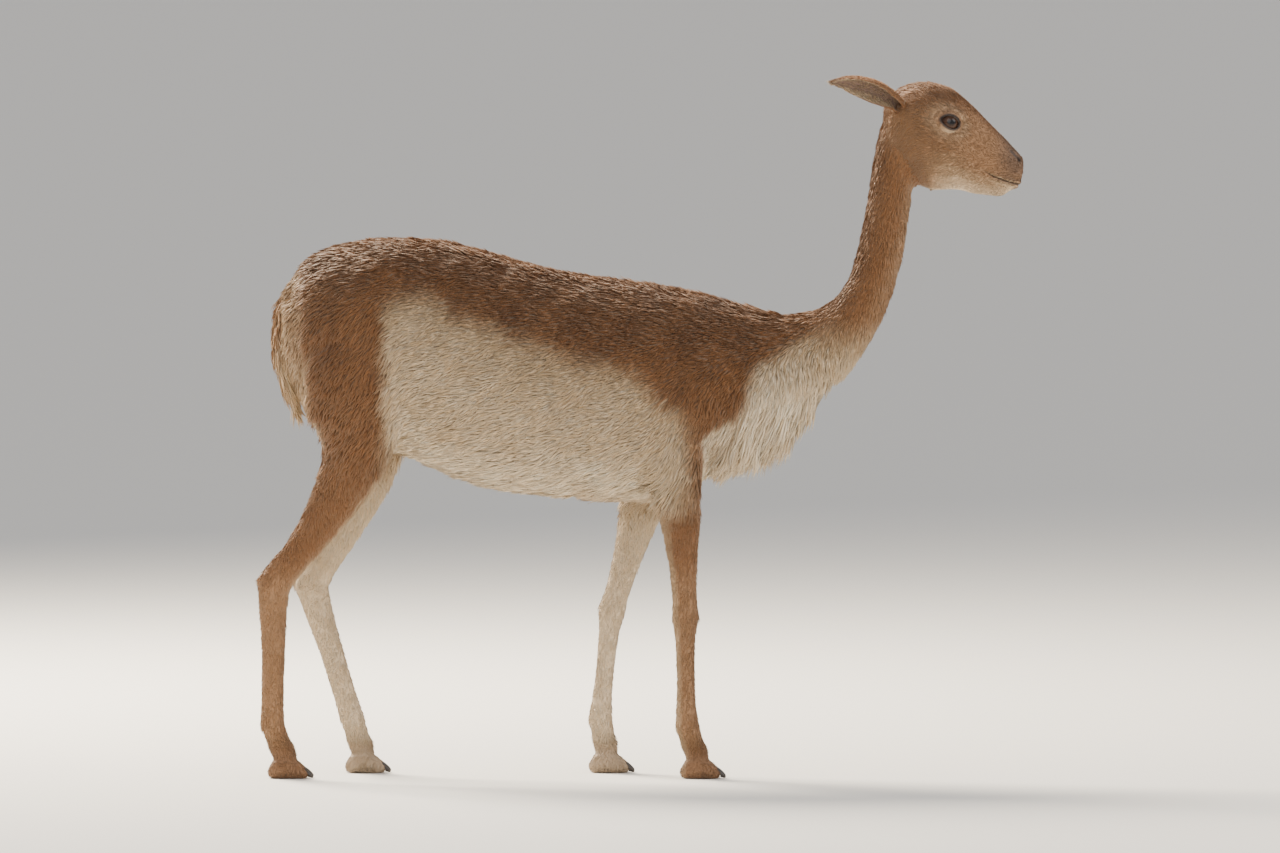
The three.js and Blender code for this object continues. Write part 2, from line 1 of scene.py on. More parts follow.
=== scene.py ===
"""A life-size vicuna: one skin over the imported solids, and a coat of solid tufts and locks over the skin.

Places on the animal are given in millimetres as fore (towards the head), left and up, as the solids were
drawn. Blender works in metres, with the animal facing -Y, its left side on +X and the ground at Z = 0.
Colours, lengths and the like change over soft steps between such places.
"""
import math
from contextlib import contextmanager

import bmesh
import bpy
import numpy as np
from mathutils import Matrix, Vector
from mathutils.bvhtree import BVHTree


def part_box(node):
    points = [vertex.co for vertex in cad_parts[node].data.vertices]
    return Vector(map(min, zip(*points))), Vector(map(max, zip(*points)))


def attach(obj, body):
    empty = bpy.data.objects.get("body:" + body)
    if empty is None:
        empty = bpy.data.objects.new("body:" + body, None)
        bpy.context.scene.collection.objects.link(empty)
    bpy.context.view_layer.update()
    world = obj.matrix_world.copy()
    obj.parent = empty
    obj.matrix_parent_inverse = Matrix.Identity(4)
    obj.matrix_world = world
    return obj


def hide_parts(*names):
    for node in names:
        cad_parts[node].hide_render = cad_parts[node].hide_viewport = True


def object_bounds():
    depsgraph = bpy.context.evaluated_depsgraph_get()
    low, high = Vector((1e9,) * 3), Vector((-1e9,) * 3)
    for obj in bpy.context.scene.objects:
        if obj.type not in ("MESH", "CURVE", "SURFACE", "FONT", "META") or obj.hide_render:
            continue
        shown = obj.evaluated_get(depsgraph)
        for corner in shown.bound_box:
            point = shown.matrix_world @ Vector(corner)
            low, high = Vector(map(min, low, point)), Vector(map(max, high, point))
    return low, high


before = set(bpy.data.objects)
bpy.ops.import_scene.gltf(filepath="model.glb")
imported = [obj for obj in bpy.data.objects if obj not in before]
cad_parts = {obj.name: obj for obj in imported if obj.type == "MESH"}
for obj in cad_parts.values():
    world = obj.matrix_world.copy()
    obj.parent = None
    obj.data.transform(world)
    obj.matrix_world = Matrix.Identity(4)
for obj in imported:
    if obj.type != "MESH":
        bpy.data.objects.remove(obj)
CAD_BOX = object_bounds()
MM = 0.001
BODY = "root"
SIDES = {"left": 1, "right": -1}
LIMBS = [f"{leg}_{side}" for leg in ("foreleg", "hindleg") for side in SIDES]

# Where the eyes were drawn tells how the frame lies
EYE_FORE = 521
EYE_LOW, EYE_HIGH = (np.array(corner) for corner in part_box("eye_left"))
EYE_CENTRE = (EYE_LOW + EYE_HIGH) / 2 / MM
EYE_RADIUS = (EYE_HIGH - EYE_LOW)[0] / 2 / MM
SHIFT = EYE_CENTRE[1] + EYE_FORE

# Skin
FLESH = ["barrel", "hindquarters", "neck", "head", "eye_left", "eye_right"]
FLESH += [f"{limb}_{part}" for limb in LIMBS for part in ("upper", "lower", "foot")]
VOXEL = 3.6
KEPT_FACES = 0.36
PUSH_OUT = 1.0
DOUBLES = 0.01
RELAX_STEPS = {"voxels": 12, "ledges": 60, "skin": 22, "spikes": 8, "face": 4, "ear": 4, "tail": 6}
SPIKE = (1.4, 2.8)
CLEFT = {"depth": 8.5, "width": 4.2}
LOWEST_SKIN = 0.8
LOWEST_TUFT = 0.4
BREAST_CUT = {"fore": 100, "up": 593, "rise": 0.564}
HEAD_LINE = {"fore": 434, "up": 1104, "along": (0.786, 0.615)}
NECK_LINE = {"fore": 303, "up": 751, "along": (0.83, 0.56)}

# Swellings and hollows: place, width and height
TRUNK_FORMS = [
    ((-500, 118, 700), 105, 9),  # thigh
    ((-398, 140, 600), 55, -9),  # fold before the stifle
    ((-372, 132, 835), 62, -9),  # hollow of the flank
    ((-452, 96, 905), 40, 6),  # point of the hip
    ((118, 104, 690), 78, 9),  # shoulder
    ((20, 140, 650), 58, -7),  # behind the shoulder
    ((52, 112, 512), 34, 6),  # elbow
    ((-120, 165, 640), 170, 5),  # ribs
    ((150, 44, 850), 40, -5),  # before the withers
]
FACE_FORMS = [
    ((528, 47, 1163), 17, 2.6),  # brow
    ((560, 38, 1112), 16, 1.6),  # cheekbone
    ((500, 50, 1085), 24, 2.0),  # jaw muscle
    ((552, 44, 1135), 9, -1.4),  # hollow before the eye
    ((575, 34, 1080), 18, -1.6),  # hollow of the cheek
    ((628, 27, 1066), 13, 1.8),  # upper lip
    ((632, 0, 1093), 9, -0.8),  # between the nostrils
    ((612, 0, 1010), 12, 1.5),  # chin
]

# Face
GAZE_FORWARD = math.radians(22)
LID = {"length": 33, "height": 23, "droop": 0.2, "over": 2.2}
MOUTH = {"fore": (588, 600, 618, 640, 662), "up": (1052.5, 1045, 1037.5, 1031, 1027)}
NOSTRIL = ((634, 17.2, 1088), (641, 15.6, 1080), (645.5, 12.4, 1071))
LASHES = 64

# An ear from its root to its tip: middle line, half width and cupping in degrees, and the way it opens
EAR = {
    "fore": (440, 424, 392, 352, 318),
    "left": (26, 34, 46, 55, 60),
    "up": (1166, 1183, 1202, 1211, 1207),
    "half": (11, 15, 20.5, 17.5, 1.5),
    "cupped": (150, 128, 96, 72, 50),
    "opens": (0.3, 0.72, -0.62),
    "thick": 2.6,
}
TAIL = {
    "fore": (-590, -615, -630, -634, -628, -618),
    "up": (852, 830, 784, 736, 694, 664),
    "half_across": (16, 24, 28, 28, 24, 12),
    "half_deep": (12, 15, 14, 13, 10, 5),
}

# Coat colours, as linear light
CINNAMON = (0.25, 0.115, 0.047)
DARK_CINNAMON = (0.12, 0.051, 0.022)
FAWN = (0.37, 0.22, 0.115)
CREAM = (0.72, 0.61, 0.45)
BUFF = (0.48, 0.345, 0.21)
MUZZLE = (0.15, 0.09, 0.058)
BARE = (0.045, 0.031, 0.026)
# Inside of the ear: dark bare skin, made darker still as painted shade of the cup's hollow
EAR_HOLLOW_SKIN_AND_SHADE = (0.17, 0.105, 0.08)
LASH = (0.03, 0.02, 0.015)

# Tufts: millimetres between roots, and width and lift as a share of the length, by region
SPACING = {"trunk": 3.8, "neck": 2.9, "leg": 2.7, "foot": 2.3}
WIDTH = {"trunk": 3.8, "neck": 2.7, "leg": 1.9, "foot": 1.7}
LIFT = {"trunk": 0.21, "neck": 0.16, "leg": 0.15, "foot": 0.15}
BREAST_SPACING = 3.9
TAIL_SPACING = 3.2
EAR_SPACING = 1.75
DEEPEST_LIFT = 6

# A tuft's sides, the size of its patch on the unwrap, how tones differ, and how many tufts a piece holds
TUFT_SIDES = 3
PATCH = 0.003
TONE_SPREAD = 0.08
LONG_TUFT = 12.5
LONG_TUFTS = 19500
SHORT_TUFTS = 48000
BREAST_LOCKS = 8900

rng = np.random.default_rng(11)


def place(fore, left, up):
    """A place on the animal, in Blender's metres."""
    return np.stack(np.broadcast_arrays(left, SHIFT - np.asarray(fore, float), up), axis=-1) * MM


def turn(fore, left, up):
    """A direction on the animal, of length 1."""
    vector = np.stack(np.broadcast_arrays(left, -np.asarray(fore, float), up), axis=-1).astype(float)
    return vector / np.linalg.norm(vector, axis=-1, keepdims=True)


def design(points):
    """Fore, left and up of points, in millimetres."""
    return SHIFT - points[:, 1] / MM, points[:, 0] / MM, points[:, 2] / MM


def side_of(points):
    """1 on the left side and -1 on the right."""
    return np.where(points[:, 0] < 0, -1.0, 1.0)


def step(low, high, x):
    """0 below low, 1 above high and smooth between."""
    t = np.clip((x - low) / (high - low), 0, 1)
    return t * t * (3 - 2 * t)


def bell(x, width):
    """1 at 0, falling smoothly over width to either side."""
    return np.exp(-((x / width) ** 2))


def unit(vectors):
    return vectors / np.maximum(np.linalg.norm(vectors, axis=-1, keepdims=True), 1e-12)


def laid_on(ways, facing, cling=1.0):
    """Directions laid along the skin; cling 1 lays them flat on it."""
    return ways - facing * (np.sum(ways * facing, 1) * cling)[:, None]


def waves(points, size, seed):
    """A soft random field from -1 to 1 with features of about size millimetres."""
    local = np.random.default_rng(seed)
    total = np.zeros(len(points))
    for _ in range(6):
        direction = unit(local.normal(size=3))
        pace = 2 * math.pi / (size * MM * local.uniform(0.7, 1.6))
        total += np.sin(points @ direction * pace + local.uniform(0, 6.3))
    return total / 3.2


def drift(points, size, seed):
    """A soft random field of directions."""
    return np.stack([waves(points, size, seed + k) for k in range(3)], 1)


# Meshes


def read(items, field, width, kind=float):
    """A field of all vertices, edges or the like, one row each."""
    flat = np.empty(len(items) * width, kind)
    items.foreach_get(field, flat)
    return flat.reshape(-1, width)


def coords(mesh):
    return read(mesh.vertices, "co", 3)


def normals(mesh):
    return read(mesh.vertex_normals, "vector", 3)


def move_to(mesh, points):
    mesh.vertices.foreach_set("co", points.ravel())
    mesh.update()


def push(mesh, rise):
    """Moves each vertex out along its normal by its rise, in millimetres."""
    move_to(mesh, coords(mesh) + normals(mesh) * (rise * MM)[:, None])


def smooth_shading(mesh):
    mesh.polygons.foreach_set("use_smooth", np.ones(len(mesh.polygons), bool))


@contextmanager
def editing(mesh):
    """Opens a mesh for changes to its edges and faces, and writes them back."""
    bm = bmesh.new()
    bm.from_mesh(mesh)
    yield bm
    bm.to_mesh(mesh)
    bm.free()


def neighbours(mesh):
    """Each edge's vertices both ways round, and what gives the middle of each vertex's neighbours."""
    pairs = read(mesh.edges, "vertices", 2, int)
    here, there = np.concatenate([pairs, pairs[:, ::-1]]).T
    count = np.maximum(np.bincount(here, minlength=len(mesh.vertices)), 1)[:, None]

    def middles(points):
        return np.stack([np.bincount(here, points[there, k], len(points)) for k in range(3)], 1) / count

    return here, there, middles


def relax(mesh, steps, weight=1.0, back=0.97):
    """Evens out a mesh, more where weight is nearer 1; back keeps it from shrinking, and at 0 it may."""
    points = coords(mesh)
    middles = neighbours(mesh)[2]
    weight = np.broadcast_to(np.asarray(weight, float), len(points))[:, None]
    for i in range(steps):
        pull = -0.5 * back if back and i % 2 else 0.5
        points = points + pull * weight * (middles(points) - points)
    move_to(mesh, points)


def unevenness(mesh):
    """How far each vertex, or one beside it, stands off the middle of its neighbours, in millimetres."""
    here, there, middles = neighbours(mesh)
    points = coords(mesh)
    off = np.linalg.norm(middles(points) - points, axis=1) / MM
    wide = off.copy()
    np.maximum.at(wide, here, off[there])
    return wide


def new_object(name, data, *materials):
    piece = bpy.data.objects.new(name, data)
    bpy.context.scene.collection.objects.link(piece)
    for look in materials:
        data.materials.append(look)
    return piece


def paint(mesh, colours):
    """Gives each vertex its colour, which the coat and skin materials read."""
    layer = mesh.attributes.new("coat", "FLOAT_COLOR", "POINT")
    rgba = np.ones((len(mesh.vertices), 4), np.float32)
    rgba[:, :3] = colours
    layer.data.foreach_set("color", rgba.ravel())


def mesh_from(name, points, triangles):
    mesh = bpy.data.meshes.new(name)
    mesh.vertices.add(len(points))
    mesh.vertices.foreach_set("co", np.asarray(points, np.float32).ravel())
    mesh.loops.add(len(triangles) * 3)
    mesh.loops.foreach_set("vertex_index", np.asarray(triangles, np.int32).ravel())
    mesh.polygons.add(len(triangles))
    mesh.polygons.foreach_set("loop_start", np.arange(0, len(triangles) * 3, 3, dtype=np.int32))
    smooth_shading(mesh)
    mesh.update(calc_edges=True)
    return mesh


def band(first, sides):
    """Triangles between a ring of points, from the first one's number, and the ring after it."""
    pairs = [(first + j, first + (j + 1) % sides) for j in range(sides)]
    return [face for a, b in pairs for face in ((a, b, b + sides), (a, b + sides, a + sides))]


def tube_through(rings):
    """Points and triangles of the closed surface through rings of points, each [ring, point, xyz]."""
    count, sides = rings.shape[:2]
    triangles = [face for i in range(count - 1) for face in band(i * sides, sides)]
    last = (count - 1) * sides
    for j in range(sides):
        triangles.append((count * sides, (j + 1) % sides, j))
        triangles.append((count * sides + 1, last + j, last + (j + 1) % sides))
    return np.concatenate([rings.reshape(-1, 3), rings[:1].mean(1), rings[-1:].mean(1)]), triangles


def closed(mesh):
    """Turns a closed mesh's faces outward."""
    with editing(mesh) as bm:
        bmesh.ops.recalc_face_normals(bm, faces=bm.faces)
    return mesh


def applied(piece):
    """The mesh that a scratch object's modifiers make of it; the object itself goes."""
    graph = bpy.context.evaluated_depsgraph_get()
    mesh = bpy.data.meshes.new_from_object(piece.evaluated_get(graph))
    bpy.data.objects.remove(piece)
    return mesh


def unwrap_mesh(piece):
    """Unfolds a piece's own shape into the map that the tufts find their places on."""
    piece.data.uv_layers.new(name="OFBake")
    bpy.context.view_layer.objects.active = piece
    for other in bpy.context.selected_objects:
        other.select_set(False)
    piece.select_set(True)
    bpy.ops.object.mode_set(mode="EDIT")
    bpy.ops.mesh.select_all(action="SELECT")
    bpy.ops.uv.smart_project(angle_limit=math.radians(70), island_margin=0.002)
    bpy.ops.object.mode_set(mode="OBJECT")


# Regions of the body


def past(line, fore, up):
    """How far a place lies past a line across the side view, towards the head."""
    along = line["along"]
    return (fore - line["fore"]) * along[0] + (up - line["up"]) * along[1]


def regions(points):
    """How much each point belongs to the head, neck, legs and feet, from 0 to 1."""
    fore, _, up = design(points)
    head = np.maximum(step(-24, 34, past(HEAD_LINE, fore, up)), step(474, 500, fore) * step(958, 980, up))
    neck = step(-40, 60, past(NECK_LINE, fore, up)) * (1 - head)
    front = step(520, 440, up) * step(-120, -90, fore)
    hind = step(600, 470, up) * step(-400, -440, fore + 0.3 * (540 - up))
    leg = np.maximum(np.maximum(front, hind), step(468, 440, up))
    return head, neck, leg, step(75, 45, up)


def by_region(points, trunk, neck, leg, foot, head):
    """A value that passes softly from the trunk's to those of the neck, legs, feet and head."""
    on_head, on_neck, on_leg, on_foot = regions(points)
    value = trunk
    for own, share in ((neck, on_neck), (leg, on_leg), (foot, on_foot), (head, on_head)):
        value = value * (1 - share) + own * share
    return value


def coat_depth(points):
    """How far the skin lies inside the coat's outline, in millimetres."""
    fore, _, up = design(points)
    trunk = 9 + 3 * step(560, 480, up) * step(-300, -200, fore)
    return by_region(points, trunk, neck=8, leg=3.2, foot=1.6, head=4.2 - 2.2 * step(540, 600, fore))


def raised(points, forms):
    """The height of swellings and hollows on both sides of the body, in millimetres."""
    rise = np.zeros(len(points))
    for (fore, left, up), width, height in forms:
        away = points - place(fore, side_of(points) * left, up)
        rise += height * bell(np.linalg.norm(away, axis=1) / MM, width)
    return rise


# Skin


def node_copy(node):
    """A node's surface with its doubled vertices joined."""
    bm = bmesh.new()
    bm.from_mesh(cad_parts[node].data)
    bmesh.ops.remove_doubles(bm, verts=bm.verts, dist=DOUBLES * MM)
    return bm


def flesh_copy(node):
    """A node's surface pushed out a little, so that it overlaps its neighbours."""
    bm = node_copy(node)
    bm.normal_update()
    for vertex in bm.verts:
        vertex.co += vertex.normal * PUSH_OUT * MM
    return bm


def keep_side(bm, point, normal):
    """Cuts a closed surface by a plane, keeps what normal points to and closes it."""
    geometry = bm.verts[:] + bm.edges[:] + bm.faces[:]
    bmesh.ops.bisect_plane(bm, geom=geometry, plane_co=point, plane_no=normal, clear_inner=True)
    bmesh.ops.holes_fill(bm, edges=[edge for edge in bm.edges if edge.is_boundary], sides=0)
    return bm


def ring_on(node, outward, upward, count=40):
    """The outline of a node's flat end, as points at even angles from its upper edge round its left side."""
    points = coords(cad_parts[node].data)
    reach = points @ outward
    edge = points[reach > reach.max() - 0.4 * MM]
    centre = (edge[(edge @ upward).argmax()] + edge[(edge @ upward).argmin()]) / 2
    away = edge - centre
    angles = np.arctan2(away[:, 0], away @ upward)
    order = np.argsort(angles)
    radius = np.linalg.norm(away, axis=1)[order] + PUSH_OUT * MM
    even = np.linspace(-math.pi, math.pi, count, endpoint=False)
    reach = np.interp(even, angles[order], radius, period=2 * math.pi)
    left = np.array([1.0, 0, 0])
    return centre + reach[:, None] * (np.cos(even)[:, None] * upward + np.sin(even)[:, None] * left), even


def inner_ring(ring, way):
    """A ring a little smaller and further on, so that a tube reaches into its neighbour."""
    middle = ring.mean(0)
    return middle + (ring - middle) * 0.94 + way * 9 * MM


def breast_core():
    """The breast under its long hair, carried on smoothly from the ribs to the neck."""
    ribs, angles = ring_on("barrel", turn(1, 0, 0), turn(0, 0, 1))
    fore, up = NECK_LINE["along"]
    throat, _ = ring_on("neck", -turn(fore, 0, up), turn(-up, 0, fore))
    reach = np.linalg.norm(throat - ribs, axis=1)[:, None]
    below = ((1 - np.cos(angles)) / 2)[:, None]
    start = unit((1 - below) * turn(1, 0, -0.14) + below * turn(1, 0, 0)) * reach
    end = unit((1 - below) * turn(1, 0, 0.1) + below * turn(0.62, 0, 0.78)) * reach
    rings = [inner_ring(ribs, turn(-1, 0, 0))]
    for t in np.linspace(0, 1, 14):
        rings.append(
            (2 * t**3 - 3 * t**2 + 1) * ribs + (t**3 - 2 * t**2 + t) * start
            + (3 * t**2 - 2 * t**3) * throat + (t**3 - t**2) * end
        )
    rings.append(inner_ring(throat, turn(fore, 0, up)))
    bm = bmesh.new()
    bm.from_mesh(closed(mesh_from("core", *tube_through(np.array(rings)[:, ::-1]))))
    return bm


def round_off(mesh):
    """Rounds the ledges where the breast under its hair meets the shoulders, forelegs and throat."""
    fore, left, up = design(coords(mesh))
    cut = BREAST_CUT
    slope = bell(up - cut["up"] - cut["rise"] * (fore - cut["fore"]), 24)
    slope = slope * step(90, 120, fore) * step(390, 355, fore)
    off_leg = np.maximum(step(66, 56, np.abs(left)), step(500, 525, up))
    off_leg = np.maximum(off_leg, (left > 0) * step(52, 64, fore))
    front = bell(fore - cut["fore"] + 6, 26) * step(630, 600, up) * off_leg
    throat = bell(fore - 335, 26) * bell(up - 705, 26)
    ledge = np.maximum(slope, np.maximum(front, throat))
    relax(mesh, RELAX_STEPS["ledges"], np.clip(ledge * 1.4, 0, 1), back=0)


def thin_out(skin):
    """Joins faces where the skin is plain and keeps them small on the head and feet."""
    head, _, leg, foot = regions(coords(skin))
    piece = new_object("thinned", skin)
    detail = piece.vertex_groups.new(name="plain")
    share = np.round(1 - np.clip(head + foot + 0.35 * leg, 0, 1), 1)
    for level in np.unique(share):
        detail.add(np.flatnonzero(share == level).tolist(), float(level), "REPLACE")
    joined = piece.modifiers.new("joined", "DECIMATE")
    joined.ratio = KEPT_FACES
    joined.vertex_group = "plain"
    joined.vertex_group_factor = 4
    return applied(piece)


def keep_largest(mesh):
    """Drops the scraps that the cuts leave beside the body."""
    with editing(mesh) as bm:
        unseen, parts = set(bm.verts), []
        while unseen:
            waiting = [unseen.pop()]
            part = list(waiting)
            while waiting:
                vertex = waiting.pop()
                beside = {edge.other_vert(vertex) for edge in vertex.link_edges} & unseen
                unseen -= beside
                waiting += beside
                part += beside
            parts.append(part)
        largest = max(parts, key=len)
        scraps = [vertex for part in parts if part is not largest for vertex in part]
        bmesh.ops.delete(bm, geom=scraps, context="VERTS")


def shape_feet(mesh):
    """The cleft between the two toes of each foot."""
    fore, left, up = design(coords(mesh))
    sink = np.zeros(len(fore))
    for limb in LIMBS:
        nails = [np.array(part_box(f"{limb}_nail_{way}")) / MM for way in SIDES]
        middle = sum(nail[:, 0].mean() for nail in nails) / 2
        behind = SHIFT - min(nail[0, 1] for nail in nails) - fore
        near = step(72, 60, behind) * (behind > -5) * (np.abs(left - middle) < 24)
        near = near * step(48, 30, up) * step(66, 34, behind)
        sink += CLEFT["depth"] * near * bell(left - middle, CLEFT["width"])
    push(mesh, -sink)


def build_skin():
    """One surface round all the flesh, set in by the coat's depth and evened out."""
    corner = place(BREAST_CUT["fore"], 0, BREAST_CUT["up"])
    pieces = [flesh_copy(node) for node in FLESH]
    pieces.append(keep_side(flesh_copy("chest"), corner, turn(-BREAST_CUT["rise"], 0, 1)))
    pieces.append(keep_side(flesh_copy("chest"), corner, turn(-1, 0, 0)))
    pieces.append(breast_core())
    whole = bpy.data.meshes.new("flesh")
    merged = bmesh.new()
    for piece in pieces:
        piece.to_mesh(whole)
        merged.from_mesh(whole)
        piece.free()
    merged.to_mesh(whole)
    merged.free()
    rough = new_object("rough", whole)
    remesh = rough.modifiers.new("voxels", "REMESH")
    remesh.mode = "VOXEL"
    remesh.voxel_size = VOXEL * MM
    skin = applied(rough)
    relax(skin, RELAX_STEPS["voxels"])
    round_off(skin)
    push(skin, -coat_depth(coords(skin)))
    skin = thin_out(skin)
    keep_largest(skin)
    head, _, leg, foot = regions(coords(skin))
    relax(skin, RELAX_STEPS["skin"], 1 - np.clip(1.4 * head + 1.2 * foot + 0.65 * leg, 0, 0.97))
    relax(skin, RELAX_STEPS["spikes"], step(*SPIKE, unevenness(skin)) * (1 - head))
    points = coords(skin)
    push(skin, raised(points, TRUNK_FORMS) * step(14, 50, np.abs(design(points)[1])))
    shape_feet(skin)
    return skin


def refine(mesh, chosen):
    """Halves the edges of the faces whose centres are chosen."""
    with editing(mesh) as bm:
        mask = chosen(np.array([face.calc_center_median() for face in bm.faces]))
        edges = {edge for face, yes in zip(bm.faces, mask) if yes for edge in face.edges}
        bmesh.ops.subdivide_edges(bm, edges=list(edges), cuts=1, use_grid_fill=True, smooth=0)
        bmesh.ops.triangulate(bm, faces=[face for face in bm.faces if len(face.verts) > 4])


# The face


def eye_axes(side):
    """The eye's centre, the way it looks, and the ways ahead and up across it."""
    centre = place(EYE_FORE, side * EYE_CENTRE[0], EYE_CENTRE[2])
    gaze = turn(math.sin(GAZE_FORWARD), side * math.cos(GAZE_FORWARD), 0.04)
    ahead, upward = (unit(way - gaze * (way @ gaze)) for way in (turn(1, 0, 0), turn(0, 0, 1)))
    return centre, gaze, ahead, upward


def in_eye(points, side):
    """Each point's height along the gaze, its ring (1 at the lids' edge), its level and its reach."""
    centre, gaze, ahead, upward = eye_axes(side)
    away = (points - centre) / MM
    x, y, out = away @ ahead, away @ upward, away @ gaze
    level = y + LID["droop"] * x
    ring = np.sqrt((x / (LID["length"] / 2)) ** 2 + np.abs(level / (LID["height"] / 2)) ** 1.6)
    return out, ring, level, np.sqrt(x**2 + y**2)


def distance_to_line(points, line):
    """The distance from points to a line of short straight stretches, in millimetres."""
    best = np.full(len(points), np.inf)
    for start, end in zip(line[:-1], line[1:]):
        span = end - start
        t = np.clip(((points - start) @ span) / (span @ span), 0, 1)
        best = np.minimum(best, np.linalg.norm(points - start - t[:, None] * span, axis=1))
    return best / MM


def nostril_line(side):
    return np.array([place(fore, side * left, up) for fore, left, up in NOSTRIL])


def mouth_gap(points):
    """How far a point lies above the line of the mouth, in millimetres, and how surely it is on the lips."""
    fore, _, up = design(points)
    on_lips = step(MOUTH["fore"][0] - 6, MOUTH["fore"][0] + 8, fore)
    return up - np.interp(fore, MOUTH["fore"], MOUTH["up"]), on_lips


def jaw_ridge(points):
    """1 on the narrow ridge between the two sides of the lower jaw."""
    fore, left, up = design(points)
    return bell(left, 14) * step(470, 484, fore) * step(600, 540, fore) * step(1036, 1026, up)


def near_details(points, reach):
    """Whether points lie within reach of the eyes, nostrils, mouth or the lip's cleft."""
    fore, left, up = design(points)
    near = np.zeros(len(points), bool)
    for side in SIDES.values():
        out, ring = in_eye(points, side)[:2]
        near |= (ring < 1 + reach / 13) & (out > 0)
        near |= distance_to_line(points, nostril_line(side)) < reach
    gap, on_lips = mouth_gap(points)
    near |= (np.abs(gap) < reach * 0.8) & (on_lips > 0.02)
    near |= (np.abs(left) < reach * 0.6) & (fore > 625) & (up < 1075) & (up > 1015)
    return near


def carve_face(mesh):
    """Brow, lids, nostrils, lips and the cleft of the upper lip, worked into the skin."""
    points = coords(mesh)
    fore, left, up = design(points)
    rise = raised(points, FACE_FORMS)
    gap, on_lips = mouth_gap(points)
    wide = step(0, 14, fore - MOUTH["fore"][0])
    rise += on_lips * (-3.2 * bell(gap, 1.25) + wide * (1.5 * bell(gap - 4.2, 3) + 1.3 * bell(gap + 4, 2.6)))
    cleft = step(633, 641, fore) * step(1024, 1030, up) * step(1068, 1056, up)
    rise += cleft * (0.9 * bell(np.abs(left) - 6, 4) - 2.6 * bell(left, 1.5))
    for side in SIDES.values():
        line = nostril_line(side)
        wing = line + (place(-4.5, side * 2.0, 2.5) - place(0, 0, 0))
        inner = line + (place(4, -side * 3.0, 2.5) - place(0, 0, 0))
        for path, height, width in ((line, -6.5, 2.1), (wing, 2.2, 3.6), (inner, 0.8, 3)):
            rise += height * bell(distance_to_line(points, path), width)
    points = points + normals(mesh) * (rise * step(0.02, 0.3, regions(points)[0]) * MM)[:, None]
    for side in SIDES.values():
        out, ring, level, span = in_eye(points, side)
        radius = EYE_RADIUS + LID["over"]
        lid = np.sqrt(np.maximum(radius**2 - span**2, 0)) - 30 * step(radius - 3, radius + 5, span)
        soft = 2.2
        lifted = soft * np.logaddexp(out / soft, lid / soft)
        crease = 1.3 * bell(ring - 1.62, 0.16) * step(-2, 4, level)
        crease += 0.9 * bell(ring - 1.5, 0.14) * step(2, -4, level)
        under = np.sqrt(np.maximum(EYE_RADIUS**2 - span**2, 0)) - 5
        target = np.where(ring < 1.0, under, lifted - crease)
        fade = step(38, 28, span) * (out > 0)
        points = points + eye_axes(side)[1] * ((target - out) * fade * MM)[:, None]
    move_to(mesh, points)


# Markings


